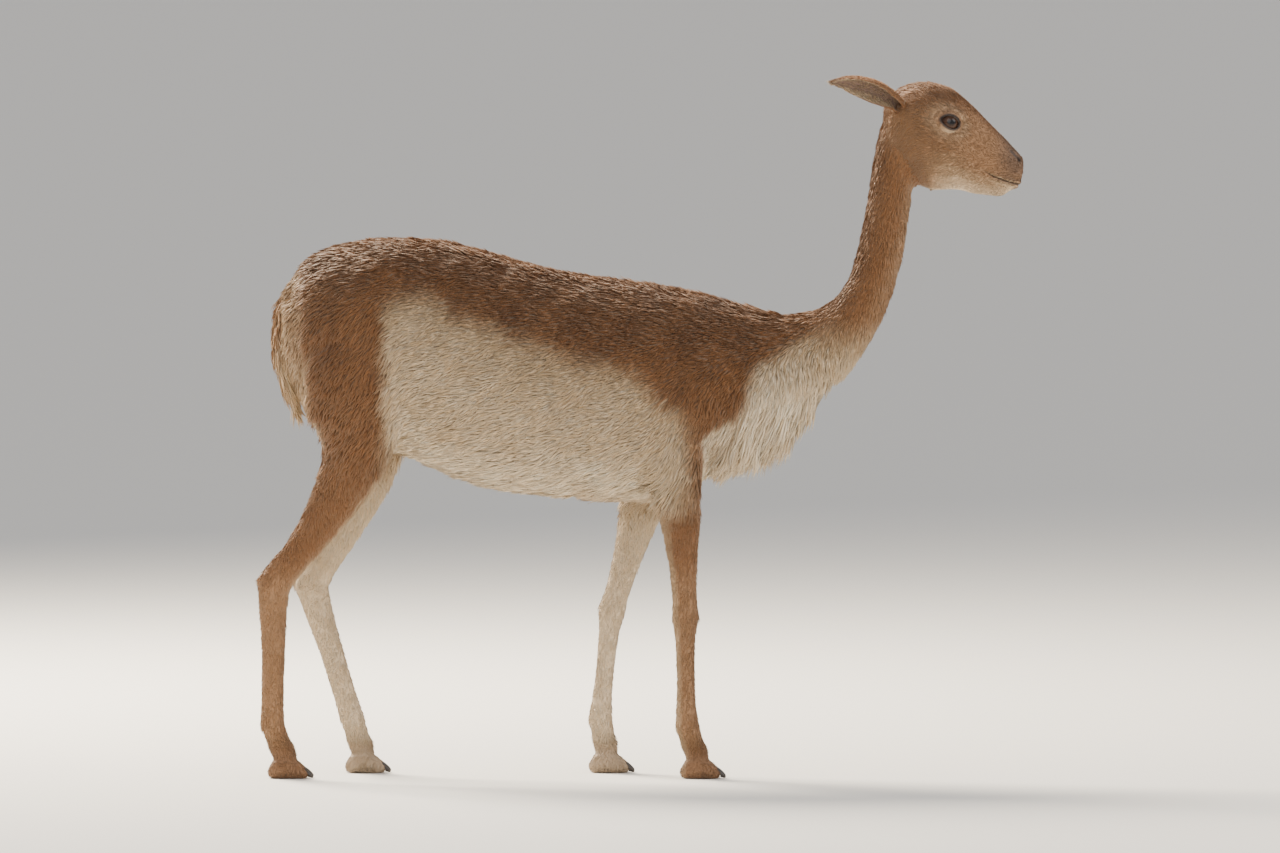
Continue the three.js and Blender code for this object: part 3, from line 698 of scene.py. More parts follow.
def markings(points, facing):
    """The coat's colour at each point: cinnamon above, cream below, as the photograph shows."""
    fore, left, up = design(points)
    head, neck, leg, foot = regions(points)
    wobble = 11 * waves(points, 130, 3) + 5 * waves(points, 34, 4)
    outward = facing[:, 0] * side_of(points)
    behind = facing[:, 1]
    ahead = -behind
    above = facing[:, 2]
    colour = np.tile(np.array(CINNAMON), (len(points), 1))

    def blend(tint, amount):
        nonlocal colour
        amount = np.clip(amount, 0, 1)[:, None]
        colour = colour * (1 - amount) + np.array(tint) * amount

    shade = 0.5 + 0.25 * step(0.2, 0.95, above) + 0.18 * waves(points, 90, 5)
    blend(DARK_CINNAMON, shade * (1 - head) * (1 - 0.8 * neck) * (1 - 0.55 * leg))
    blend(FAWN, 0.45 * neck * step(0.0, 0.8, ahead) * step(1000, 900, up))
    blend(DARK_CINNAMON, 0.45 * neck * step(0.1, 0.8, behind))

    # Pale flank, belly and breast
    trunk = (1 - head) * (1 - leg)
    top = np.interp(fore, (-470, -430, -320, -160, 0, 70), (815, 838, 812, 742, 694, 640))
    within = step(-466, -428, fore + wobble * 0.6) * step(98, 48, fore + wobble * 0.6)
    below = up - top + wobble
    belly = step(-0.25, -0.7, above) * step(260, 220, fore) * step(-640, -560, fore)
    brisket = step(82, 50, np.abs(left)) * step(580, 525, up) * step(0, 40, fore)
    bib_edge = np.interp(up, (480, 600, 720, 800), (108, 146, 196, 320))
    bib = step(-18, 24, fore - bib_edge + wobble * 0.4) * step(822, 735, up)
    pale = np.maximum(step(34, -30, below) * within, np.maximum(belly, np.maximum(bib, brisket)))
    blend(BUFF, trunk * pale)
    flank = 0.4 * step(20, -120, below) * within
    deep = np.maximum(flank, np.maximum(belly, np.maximum(bib * step(780, 660, up), brisket)))
    blend(CREAM, trunk * deep * (0.8 + 0.2 * waves(points, 60, 6)))
    blend(BUFF, 0.7 * step(0.5, 0.95, behind) * step(-560, -600, fore) * (1 - leg))

    # Legs, pale inside
    inner = step(0.15, -0.45, outward)
    hind = (fore < -380).astype(float)
    thigh = hind * step(0.35, 0.85, ahead) * step(300, 380, up)
    blend(FAWN, leg * 0.5 * step(420, 300, up))
    blend(BUFF, leg * np.maximum(inner * 0.9, thigh * 0.8))
    blend(BUFF, leg * (1 - hind) * step(0.2, 0.8, behind) * 0.6)
    blend(CREAM, leg * inner * 0.5)
    shin = step(0.3, 0.8, ahead) * step(340, 250, up) * (1 - thigh) * (1 - 0.6 * inner)
    blend(DARK_CINNAMON, 0.35 * leg * shin)
    blend(DARK_CINNAMON, 0.45 * foot)

    # Head
    jaw = np.maximum(step(0.0, -0.55, above) * step(466, 540, fore), jaw_ridge(points))
    jaw = head * jaw * step(655, 630, fore)
    throat = step(1060, 1000, up) * step(430, 480, fore) * step(880, 960, up) * step(-0.3, 0.5, ahead)
    blend(BUFF, np.maximum(jaw, throat * 0.8) * 0.8)
    blend(CREAM, jaw * 0.45 * step(-0.3, -0.8, above))
    blend(FAWN, head * 0.4 * step(0.3, 0.8, outward) * step(1180, 1150, up))
    blend(DARK_CINNAMON, head * 0.5 * step(0.3, 0.9, above))
    blend(MUZZLE, head * 0.8 * step(596, 640, fore) * step(-0.55, 0.05, above))
    gap, on_lips = mouth_gap(points)
    blend(BUFF, 0.4 * head * bell(gap + 8, 7) * step(592, 615, fore) * step(650, 625, fore))
    for side in SIDES.values():
        out, ring = in_eye(points, side)[:2]
        near = (out > 0) * (head > 0.5)
        blend(BUFF, near * 0.32 * bell(ring - 1.9, 0.5))
        blend(BARE, near * step(1.36, 1.1, ring))
        blend(BARE, 0.92 * step(6.5, 2.2, distance_to_line(points, nostril_line(side))))
    blend(BARE, 0.85 * on_lips * step(2.6, 1.0, np.abs(gap)))
    return colour


def bare_share(points, facing):
    """Where no fur grows: 1 on lids, nostrils, lips and soles."""
    bare = step(6, 2, design(points)[2]) * step(-0.3, -0.7, facing[:, 2])
    for side in SIDES.values():
        out, ring = in_eye(points, side)[:2]
        bare = np.maximum(bare, (out > 0) * step(1.3, 1.18, ring))
        bare = np.maximum(bare, step(4.2, 3.2, distance_to_line(points, nostril_line(side))))
    gap, on_lips = mouth_gap(points)
    return np.maximum(bare, on_lips * step(2.0, 1.4, np.abs(gap)))


# Coat


def before_bib(points):
    """How far a point lies before the rear edge of the breast's long hair, in millimetres."""
    fore, _, up = design(points)
    return fore - np.interp(up, (470, 600, 700, 760), (92, 124, 186, 250))


def breast_way(points):
    """The way that the hair of the breast hangs: back at its sides and straight down in front."""
    fore, left, _ = design(points)
    front = step(100, 280, fore)
    return turn(-0.6 * (1 - front) ** 0.7 - 0.1, -0.12 * np.clip(left / 60, -1, 1), -1)


def lie_of(points, facing):
    """Which way the hair lies along the skin."""
    fore, _, up = design(points)
    head, neck, leg, _ = regions(points)
    side = side_of(points)

    def mixed(low, high, share):
        return low * (1 - share[:, None]) + high * share[:, None]

    upright = step(-0.92, -0.55, facing[:, 2])
    shoulder = step(-10, 60, fore) * step(230, 150, fore) * step(780, 640, up)
    in_bib = step(-40, 30, before_bib(points)) * step(860, 700, up) * (1 - leg)
    flow = mixed(turn(-0.94, 0, -0.34), turn(-0.5, 0, -0.87), step(-380, -470, fore) * step(900, 760, up))
    flow = mixed(flow, turn(-0.5, 0, -0.86), shoulder * upright)
    flow = mixed(flow, turn(-0.2 - 0.65 * step(900, 720, up), 0, -1), neck)
    flow = mixed(flow, breast_way(points), in_bib)
    flow = mixed(flow, turn(-0.12, 0, -1), leg * upright)
    crown = turn(-0.8, side * 0.12, 0.5)
    cheek = turn(-0.93, side * 0.1, -0.25)
    face = mixed(crown, cheek, step(1120, 1070, up + 0.3 * (fore - 520)))
    throat = step(1055, 1025, up) * step(560, 500, fore)
    behind = np.clip(step(500, 440, fore) * step(1200, 1150, up) + throat, 0, 1)
    flow = mixed(flow, mixed(face, turn(-0.55, 0, -0.83), behind), head)
    flow = flow + 0.16 * drift(points, 70, 20) + 0.1 * drift(points, 22, 30) * (1 - head)[:, None]
    return unit(laid_on(flow, facing))


def scatter(mesh, spacing, keep):
    """Random places on a mesh, spacing millimetres apart, with their normals and unwrap places."""
    mesh.calc_loop_triangles()
    corners = read(mesh.loop_triangles, "vertices", 3, int)
    loops = read(mesh.loop_triangles, "loops", 3, int)
    points, facing = coords(mesh), normals(mesh)
    unwrap = read(mesh.uv_layers["OFBake"].data, "uv", 2)
    a, b, c = (points[corners[:, k]] for k in range(3))
    across = np.cross(b - a, c - a)
    centres = (a + b + c) / 3
    area = np.linalg.norm(across, axis=1) / 2
    wanted = area / (spacing(centres) * MM) ** 2 * keep(centres, unit(across))
    order = np.argsort(
        np.round(centres[:, 2] / 0.02) * 1000 + centres[:, 1] + centres[:, 0] * 30, kind="stable"
    )
    total = np.cumsum(wanted[order])
    marks = np.arange(0.5, total[-1]) + rng.uniform(-0.45, 0.45, int(math.ceil(total[-1] - 0.5)))
    chosen = order[np.clip(np.searchsorted(total, marks), 0, len(corners) - 1)]
    share = rng.uniform(size=(len(chosen), 2))
    flip = share.sum(1) > 1
    share[flip] = 1 - share[flip]
    weights = np.stack([1 - share.sum(1), share[:, 0], share[:, 1]], 1)[:, :, None]
    return {
        "roots": (points[corners[chosen]] * weights).sum(1),
        "facing": unit((facing[corners[chosen]] * weights).sum(1)),
        "unwrap": (unwrap[loops[chosen]] * weights).sum(1),
    }


def everywhere(points, facing):
    return np.ones(len(points))


def picked(hair, chosen):
    """The same table of tufts, with only the chosen ones."""
    return {key: values[chosen] for key, values in hair.items()}


def tufts(name, hair, rings=2, sink=1.2, curl=0.0, root_shade=0.74, tip_shade=1.08, flat=0.5):
    """A joined mesh of tapered solid tufts, one for each row of hair, with sizes in millimetres."""
    roots, facing, lie, length, width = (hair[key] for key in ("roots", "facing", "lie", "length", "width"))
    count = len(roots)
    bend = hair.get("bend", np.zeros((count, 3)))
    across = unit(np.cross(lie, facing))
    across = unit(across + facing * rng.uniform(-0.35, 0.35, count)[:, None])
    swing = (rng.normal(size=count) * curl)[:, None]
    shares = np.linspace(0, 1, rings + 1)
    middles = []
    for share in shares:
        bow = math.sin(math.pi * min(share * 0.8 + 0.05, 1)) if rings > 2 else share**0.8
        out = facing * ((hair["lift"] * bow - sink * (1 - share)) * MM)[:, None]
        curve = (bend + across * swing) * (length * share**2 * MM)[:, None]
        middles.append(roots + lie * (length * share * MM)[:, None] + out + curve)
    fullness = [0.75 + 0.5 * s if s < 0.5 else (1 - s) ** 0.7 * 1.62 for s in shares[:-1]]
    fullness = fullness if rings > 1 else [1]
    blocks = []
    for start, end, full in zip(middles[:-1], middles[1:], fullness):
        lifted = unit(np.cross(across, unit(end - start)))
        lifted = lifted * np.sign(np.sum(lifted * facing, 1))[:, None]
        half = (width * full / 2 * MM)[:, None]
        for j in range(TUFT_SIDES):
            angle = 2 * math.pi * j / TUFT_SIDES + math.pi / 12
            blocks.append(start + across * half * math.cos(angle) + lifted * half * flat * math.sin(angle))
    points = np.stack([*blocks, middles[-1]], 1)
    points[:, :, 2] = np.maximum(points[:, :, 2], LOWEST_TUFT * MM)

    tip = rings * TUFT_SIDES
    pattern = [face for i in range(rings - 1) for face in band(i * TUFT_SIDES, TUFT_SIDES)]
    under_tip = tip - TUFT_SIDES
    pattern += [(under_tip + j, under_tip + (j + 1) % TUFT_SIDES, tip) for j in range(TUFT_SIDES)]
    pattern.append((0, 2, 1))
    triangles = (np.arange(count) * (tip + 1))[:, None, None] + np.array(pattern)[None]
    mesh = mesh_from(name, points.reshape(-1, 3), triangles.reshape(-1, 3))

    # Each tuft is painted darker towards its root, as painted shade where the tufts lie over one another,
    # and a little lighter at its tip
    level = np.concatenate([np.repeat(shares[:-1], TUFT_SIDES), [1.0]])
    tone = 1 + rng.normal(size=count) * TONE_SPREAD
    shade = root_shade + (tip_shade - root_shade) * level**0.8
    warm = 1 + rng.normal(size=(count, 1, 1)) * 0.03 * np.array([1, 0, -1.5])
    colours = hair["colour"][:, None, :] * tone[:, None, None] * shade[None, :, None] * warm
    paint(mesh, np.clip(colours, 0, 1).reshape(-1, 3))
    round_it = np.concatenate([np.tile(np.arange(TUFT_SIDES) / TUFT_SIDES, rings), [0.5]])
    patch = np.stack([round_it, level], 1) * PATCH - PATCH / 2
    corner = (hair["unwrap"][:, None, :] + patch[None]).reshape(-1, 2)
    layer = mesh.uv_layers.new(name="OFBake")
    layer.data.foreach_set("uv", corner[triangles.reshape(-1)].ravel())
    return mesh


def grow(name, hair, look, slot="tawny_coat", limit=SHORT_TUFTS, **style):
    """Makes a coat in pieces of at most limit tufts each, so that no piece is too large."""
    count = len(hair["roots"])
    pieces = math.ceil(count / limit)
    for k, chosen in enumerate(np.array_split(np.arange(count), pieces)):
        label = name if pieces == 1 else f"{name}_{k + 1}"
        piece = new_object(label, tufts(label, picked(hair, chosen), **style), look)
        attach(piece, BODY)


def clear_of(skin, hair):
    """The lift that keeps the tufts' tips out of the skin where it curves inward."""
    skin.calc_loop_triangles()
    corners = read(skin.loop_triangles, "vertices", 3, int)
    tree = BVHTree.FromPolygons(coords(skin).tolist(), corners.tolist(), all_triangles=True)
    length, lift = hair["length"], hair["lift"].copy()
    tips = hair["roots"] + (hair["lie"] * length[:, None] + hair["facing"] * lift[:, None]) * MM
    for k, tip in enumerate(map(Vector, tips.tolist())):
        spot, normal, _, _ = tree.find_nearest(tip)
        depth = normal.dot(spot - tip) / MM
        lift[k] += min(max(depth + 0.03 * length[k], 0), DEEPEST_LIFT)
    return lift


def short_coat(skin, look):
    """The short coat of the whole body: longest on the trunk, shortest on the face and feet."""

    def spacing(points):
        fore, _, up = design(points)
        head, _, leg, _ = regions(points)
        on_head = 2.1 - 0.55 * step(540, 610, fore)
        apart = by_region(points, **SPACING, head=on_head)
        return apart * (1 - 0.35 * leg * bell(up - 62, 16)) * (1 - 1.7 * head * (1 - head))

    def keep(points, facing):
        under_bib = step(0, 50, before_bib(points)) * step(700, 620, design(points)[2])
        return (1 - bare_share(points, facing)) * (1 - 0.45 * under_bib)

    hair = scatter(skin, spacing, keep)
    roots, facing = hair["roots"], hair["facing"]
    count = len(roots)
    fore, _, up = design(roots)
    leg = regions(roots)[2]
    eyes = [in_eye(roots, side)[:2] for side in SIDES.values()]
    near_eye = np.maximum(*(bell(ring - 1, 1.0) * (out > 0) for out, ring in eyes))
    belly = 11 * step(620, 500, up) * step(100, 60, fore)
    throat = 12 * step(880, 740, up) * step(150, 240, fore) * step(-0.2, 0.6, -facing[:, 1])
    on_leg = 11.5 + 6 * step(330, 450, up)
    on_head = (12 - 6.5 * step(490, 600, fore)) * (1 - 0.5 * near_eye)
    length = by_region(roots, 25 + belly + throat, neck=21 + throat, leg=on_leg, foot=7.5, head=on_head)
    on_head = (2.2 - 0.6 * step(530, 600, fore)) * (1 - 0.35 * near_eye)
    width = by_region(roots, **WIDTH, head=on_head)
    on_head = 0.2 - 0.05 * step(540, 600, fore)
    lift = by_region(roots, **LIFT, head=on_head) * length
    lift = lift + 2.2 * leg * bell(up - 62, 13)
    uneven = 1 + 0.18 * waves(roots, 40, 51) + 0.12 * waves(roots, 15, 52)
    length = length * uneven * rng.uniform(0.75, 1.2, count)
    width = width * rng.uniform(0.75, 1.25, count)
    lift = lift * (1 + 0.3 * waves(roots, 30, 53)) * rng.uniform(0.5, 1.3, count)
    under_jaw = step(-0.1, -0.6, facing[:, 2]) * step(430, 460, fore) * step(950, 980, up)
    under_jaw = under_jaw * step(600, 540, fore)
    ridge = jaw_ridge(roots)
    hair["length"] = length * (1 - 0.45 * under_jaw) * (1 - 0.75 * ridge)
    hair["width"] = width
    hair["lift"] = lift * (1 - 0.7 * np.maximum(under_jaw, ridge))
    hair["lie"] = lie_of(roots, facing)
    hair["lift"] = clear_of(skin, hair)
    hair["colour"] = markings(roots, facing)
    order = np.argsort(fore)
    long = hair["length"][order] > LONG_TUFT
    style = {"curl": 0.1, "tip_shade": 1.05}
    grow("coat", picked(hair, order[long]), look, limit=LONG_TUFTS, root_shade=0.82, **style)
    grow("fine_coat", picked(hair, order[~long]), look, rings=1, sink=0.6, root_shade=0.88, **style)


def hanging(down, facing, cling):
    """Hair that hangs down along the skin; cling 1 keeps it flat, and underneath it falls free."""
    return unit(laid_on(down, facing, cling * (1 - 0.8 * step(-0.25, -0.8, facing[:, 2]))))


def bib_coat(skin, look):
    """The long pale hair of the breast, short at its top and longest low in front."""

    def keep(points, facing):
        ragged = before_bib(points) + 14 * waves(points, 46, 61)
        grown = step(-12, 44, ragged) * step(800, 640, design(points)[2]) * (regions(points)[2] < 0.35)
        return grown * step(0.8, 0.4, facing[:, 2])

    hair = scatter(skin, lambda points: np.full(len(points), BREAST_SPACING), keep)
    roots, facing = hair["roots"], hair["facing"]
    count = len(roots)
    fore, _, up = design(roots)
    front = step(100, 280, fore)
    low = step(730, 600, up)
    inner = step(-10, 50, before_bib(roots))
    under = step(-0.3, -0.85, facing[:, 2])
    throat = front * step(800, 740, up) * step(600, 690, up) * (1 - under)
    length = (24 + 78 * low * (0.62 + 0.38 * front) * inner) * (1 + 0.16 * waves(roots, 30, 64))
    hair["length"] = length * (1 - 0.45 * under) * rng.uniform(0.65, 1.15, count)
    lie = hanging(breast_way(roots), facing, 0.96 - 0.24 * front * low)
    hair["lie"] = unit(lie + 0.14 * drift(roots, 34, 60))
    bend = turn(0, 0, -1) * 0.16 + rng.normal(size=(count, 3)) * 0.05 + 0.12 * drift(roots, 24, 66)
    bend = bend + facing * np.maximum(0, -np.sum(bend * facing, 1))[:, None]
    hair["bend"] = bend + turn(-1, 0, 0) * 0.34 * throat[:, None]
    hair["colour"] = markings(roots, facing)
    hair["width"] = (3.0 + 1.9 * low) * rng.uniform(0.7, 1.25, count)
    hair["lift"] = (2.5 + 11 * front * low * (1 - throat)) * rng.uniform(0.3, 1.2, count)
    style = {"rings": 4, "sink": 3, "curl": 0.08, "root_shade": 0.72, "tip_shade": 1.06}
    grow("bib", hair, look, "pale_coat", BREAST_LOCKS, **style)


# Ears and tail


def along_ear(t, side):
    """The middle of the ear's back at t from 0 to 1, its half width, its cupping and its own axes."""
    marks = np.linspace(0, 1, len(EAR["fore"]))
    fine = np.linspace(0, 1, 41)

    def line(key):
        values = np.pad(np.interp(fine, marks, EAR[key]), 4, mode="reflect", reflect_type="odd")
        return np.interp(t, fine, np.convolve(values, np.ones(9) / 9, "valid"))

    middle = place(line("fore"), side * line("left"), line("up"))
    along = unit(np.gradient(middle, axis=0))
    fore, left, up = EAR["opens"]
    opens = unit(laid_on(turn(fore, side * left, up) + 0 * middle, along))
    return middle, line("half"), np.radians(line("cupped")), opens, np.cross(along, opens)


def ear_piece(side_name, skin_look, coat_look):
    """A cupped, pointed ear: short hair on its back, long pale hair along the rims inside."""
    rows, arc = 44, 17
    t = np.linspace(0, 1, rows)
    middle, half, cupped, opens, across = along_ear(t, SIDES[side_name])
    radius = half / np.sin(np.minimum(cupped, math.pi / 2))
    rings = []
    for out, ways in ((0, np.linspace(-1, 1, arc)), (1, np.linspace(1, -1, arc))):
        thick = EAR["thick"] * (0.35 + 0.65 * step(1, 0.7, t)) * out
        for way in ways:
            reach = ((radius - thick * (0.4 + 0.6 * (1 - abs(way) ** 4))) * MM)[:, None]
            angle = (cupped * way)[:, None]
            centre = middle + opens * (radius * MM)[:, None]
            rings.append(centre - opens * reach * np.cos(angle) + across * reach * np.sin(angle))
    points, triangles = tube_through(np.array(rings).transpose(1, 0, 2))
    mesh = closed(mesh_from(f"ear_{side_name}_skin", points, triangles))
    relax(mesh, RELAX_STEPS["ear"])
    piece = new_object(mesh.name, mesh, skin_look)
    unwrap_mesh(piece)

    def inside_of(points, facing):
        near = np.linalg.norm(points[:, None] - middle[None], axis=2).argmin(1)
        away = points - middle[near] - opens[near] * (radius[near] * MM)[:, None]
        return step(0.0, 0.5, -np.sum(facing * unit(away), 1)), t[near], near

    def tint(points, facing):
        inside, share, _ = inside_of(points, facing)
        back = np.array(CINNAMON) * (1 - 0.5 * step(0.72, 0.98, share))[:, None]
        # Inside the cup the colour is bare skin with painted shade of the hollow
        return back * (1 - inside[:, None]) + np.array(EAR_HOLLOW_SKIN_AND_SHADE) * inside[:, None]

    paint(mesh, tint(coords(mesh), normals(mesh)))
    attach(piece, BODY)
    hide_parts(f"ear_{side_name}")
    hair = scatter(mesh, lambda points: np.full(len(points), EAR_SPACING), everywhere)
    inside, share, near = inside_of(hair["roots"], hair["facing"])
    off = np.sum((hair["roots"] - middle[near]) * across[near], 1)
    rim = step(0.55, 0.92, np.abs(off) / np.maximum(half[near] * MM, 1e-5))
    kept = rng.uniform(size=len(off)) < 1 - 0.6 * inside * (1 - rim)
    hair = picked(hair, kept)
    inside, share, near, off, rim = (values[kept] for values in (inside, share, near, off, rim))
    roots, facing = hair["roots"], hair["facing"]
    count = len(roots)
    inward = -np.sign(off)[:, None] * across[near] * (0.55 * inside * rim)[:, None]
    lie = unit(np.gradient(middle, axis=0))[near] + inward + 0.13 * rng.normal(size=roots.shape)
    hair["lie"] = unit(laid_on(lie, facing))
    pale = (inside * (0.35 + 0.65 * rim))[:, None]
    hair["colour"] = tint(roots, facing) * (1 - pale) + np.array(BUFF) * pale
    length = (7.5 - 3 * share) * (1 - inside) + (12 - 5 * share + 4 * rim) * inside
    hair["length"] = length * rng.uniform(0.6, 1.1, count)
    hair["width"] = rng.uniform(1.2, 2.1, count)
    hair["lift"] = rng.uniform(0.5, 1.6, count)
    grow(f"ear_{side_name}_coat", hair, coat_look, sink=0.5, curl=0.15, root_shade=0.85)


def tail_piece(skin_look, coat_look):
    """The tail's flesh and its long soft hair."""
    share = np.linspace(0, 1, 22)
    known = np.linspace(0, 1, len(TAIL["fore"]))
    lines = [np.interp(share, known, TAIL[key]) for key in ("fore", "up", "half_across", "half_deep")]
    angles = np.linspace(0, 2 * math.pi, 20, endpoint=False)
    rings = [
        place(fore + deep * np.cos(angles), wide * np.sin(angles), np.full(20, up))
        for fore, up, wide, deep in zip(*lines)
    ]
    mesh = mesh_from("tail_skin", *tube_through(np.array(rings)))
    relax(mesh, RELAX_STEPS["tail"])
    piece = new_object("tail_skin", closed(mesh), skin_look)
    unwrap_mesh(piece)

    def tint(points, facing):
        low = step(800, 680, design(points)[2])
        amount = 0.3 + 0.4 * low + 0.3 * (1 - step(0.1, 0.8, facing[:, 1])) + 0.2 * waves(points, 40, 71)
        amount = np.clip(amount, 0, 1)[:, None]
        return np.array(CINNAMON) * (1 - amount) + np.array(BUFF) * amount

    paint(mesh, tint(coords(mesh), normals(mesh)))
    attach(piece, BODY)
    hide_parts("tail")
    hair = scatter(mesh, lambda points: np.full(len(points), TAIL_SPACING), everywhere)
    roots, facing = hair["roots"], hair["facing"]
    count = len(roots)
    _, left, up = design(roots)
    low = step(800, 680, up)
    lie = hanging(turn(0.16 + 0.2 * low, -0.25 * np.clip(left / 30, -1, 1) * low, -1), facing, 0.92)
    hair["lie"] = unit(lie + 0.12 * drift(roots, 36, 80))
    hair["colour"] = tint(roots, facing)
    hair["length"] = (38 + 16 * low) * rng.uniform(0.65, 1.1, count)
    hair["width"] = rng.uniform(2.6, 4.6, count)
    hair["lift"] = (7 - 3 * low) * rng.uniform(0.4, 1.3, count)
    hair["bend"] = turn(0.5, 0, -1) * 0.12 * low[:, None] + rng.normal(size=(count, 3)) * 0.04
    grow("tail_coat", hair, coat_look, rings=4, sink=2, curl=0.08)


# Eyes, lids, lashes and nails


def eye_piece(side_name, look):
    """The eyeball, with a slightly raised clear front."""
    centre, gaze, ahead, upward = eye_axes(SIDES[side_name])
    rows, columns = 40, 64
    polar = (np.pi * np.arange(1, rows) / rows)[:, None, None]
    angle = (2 * np.pi * np.arange(columns) / columns)[None, :, None]
    way = gaze * np.cos(polar) + (ahead * np.cos(angle) + upward * np.sin(angle)) * np.sin(polar)
    radius = EYE_RADIUS - 0.3 + 0.5 * np.exp(-((polar / 0.62) ** 4))
    points, triangles = tube_through(centre + way * radius * MM)
    points[-2:] = [centre + gaze * (EYE_RADIUS + 0.2) * MM, centre - gaze * (EYE_RADIUS - 0.3) * MM]
    mesh = closed(mesh_from("eye", points, triangles))
    away = unit(points - centre)
    spread = np.arccos(np.clip(away @ gaze, -1, 1))
    x, y = away @ ahead, away @ upward
    pupil = step(1.12, 0.9, np.sqrt((x / 0.4) ** 2 + (y / 0.2) ** 2))[:, None]
    iris = step(0.93, 0.82, spread)[:, None]
    streaks = 1 + 0.25 * np.sin(np.arctan2(y, x) * 46) * bell(spread - 0.6, 0.25)
    brown = np.array([0.04, 0.016, 0.007]) * (streaks * (0.5 + 0.8 * bell(spread - 0.55, 0.22)))[:, None]
    colour = np.array([0.07, 0.04, 0.03]) * (1 - iris) + brown * iris
    paint(mesh, colour * (1 - pupil) + np.array([0.004, 0.004, 0.006]) * pupil)
    piece = new_object(f"eyeball_{side_name}", mesh, look)
    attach(piece, BODY)
    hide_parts(f"eye_{side_name}")


def lid_points(side, angles, ring, over):
    """Points round the opening of the lids, ring times its size, over millimetres off the eyeball."""
    centre, gaze, ahead, upward = eye_axes(side)
    x = np.cos(angles) * LID["length"] / 2 * ring
    level = np.sign(np.sin(angles)) * np.abs(np.sin(angles)) ** 1.25 * LID["height"] / 2 * ring
    y = level - LID["droop"] * x
    out = np.sqrt(np.maximum((EYE_RADIUS + over) ** 2 - x**2 - y**2, 1))
    return centre + (ahead * x[:, None] + upward * y[:, None] + gaze * out[:, None]) * MM


def lid_piece(side_name, look):
    """The rims of the lids, the upper one thicker."""
    side = SIDES[side_name]
    centre, gaze = eye_axes(side)[:2]
    angles = np.linspace(0, 2 * math.pi, 96, endpoint=False)
    thick = 1.15 + 0.75 * step(-0.3, 0.5, np.sin(angles))
    spine = lid_points(side, angles, 1.04, 0.6)
    outward = unit(spine - centre)
    across = unit(np.cross(outward, unit(np.roll(spine, -1, 0) - np.roll(spine, 1, 0))))
    across *= np.sign(np.sum(across * (spine - (centre + gaze * EYE_RADIUS * MM)), 1))[:, None]
    count, sides = len(angles), 10
    rings = []
    for angle in 2 * math.pi * np.arange(sides) / sides:
        sideways = across * (thick * 1.15 * math.cos(angle) + 0.3)[:, None] * MM
        rings.append(spine + sideways + outward * (thick * math.sin(angle) * MM)[:, None])
    points = np.array(rings).transpose(1, 0, 2).reshape(-1, 3)
    triangles = [face for i in range(count) for face in band(i * sides, sides)]
    mesh = closed(mesh_from(f"lids_{side_name}", points, np.array(triangles) % len(points)))
    paint(mesh, BARE)
    lids = new_object(f"lids_{side_name}", mesh, look)
    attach(lids, BODY)


def lash_piece(side_name, look):
    """The lashes along the upper lid."""
    side = SIDES[side_name]
    centre, gaze, ahead, upward = eye_axes(side)
    angles = np.linspace(0.12 * math.pi, 0.96 * math.pi, LASHES) + rng.normal(size=LASHES) * 0.02
    roots = lid_points(side, angles, 1.1, 1.6)
    lie = gaze * 0.9 - upward * 0.35 + ahead * (0.25 * np.cos(angles))[:, None]
    hair = {
        "roots": roots,
        "facing": unit(roots - centre),
        "unwrap": np.full((LASHES, 2), 0.5),
        "lie": unit(lie + rng.normal(size=roots.shape) * 0.12),
        "bend": np.tile(upward * 0.3, (LASHES, 1)),
        "colour": np.tile(LASH, (LASHES, 1)),
        "length": rng.uniform(6, 11, LASHES),
        "width": np.full(LASHES, 0.5),
        "lift": np.full(LASHES, 0.2),
    }
    grow(f"lashes_{side_name}", hair, look, "eye", rings=4, sink=0.4, flat=0.8)


def nail_pieces(look):
    """The nails of the solids, rounded, with their roots sunk into the toes."""
    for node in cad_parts:
        if "_nail_" not in node:
            continue
        bm = node_copy(node)
        mesh = bpy.data.meshes.new(node)
        bm.to_mesh(mesh)
        bm.free()
        points = coords(mesh)
        low, high = points.min(0), points.max(0)
        up = (points[:, 2:] - low[2]) / (high[2] - low[2])
        tip = np.array([(low[0] + high[0]) / 2, low[1], low[2]])
        points = tip + (points - tip) * (1 - 0.22 * up) + turn(-1, 0, -0.5) * 5.5 * MM * up**1.4
        points[:, 0] = tip[0] + (points[:, 0] - tip[0]) * 0.86
        move_to(mesh, points)
        rough = new_object(f"{node}_rough", mesh)
        rough.modifiers.new("smooth", "SUBSURF").levels = 2
        fine = applied(rough)
        smooth_shading(fine)
        piece = new_object(f"{node}_horn", fine, look)
        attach(piece, BODY)
        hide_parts(node)


# Materials


def fill(tree, node, **inputs):
    """Sets a node's inputs, or links them to another node's output."""
    for name, value in inputs.items():
        socket = node.inputs[name.replace("_", " ")]
        if isinstance(value, bpy.types.NodeSocket):
            tree.links.new(value, socket)
        else:
            socket.default_value = value


def add_node(tree, kind, options=None, **inputs):
    node = tree.nodes.new(kind)
    for name, value in (options or {}).items():
        setattr(node, name, value)
    fill(tree, node, **inputs)
    return node


def material(name, **inputs):
    made = bpy.data.materials.new(name)
    made.use_nodes = True
    shader = made.node_tree.nodes["Principled BSDF"]
    fill(made.node_tree, shader, **inputs)
    return made, made.node_tree, shader


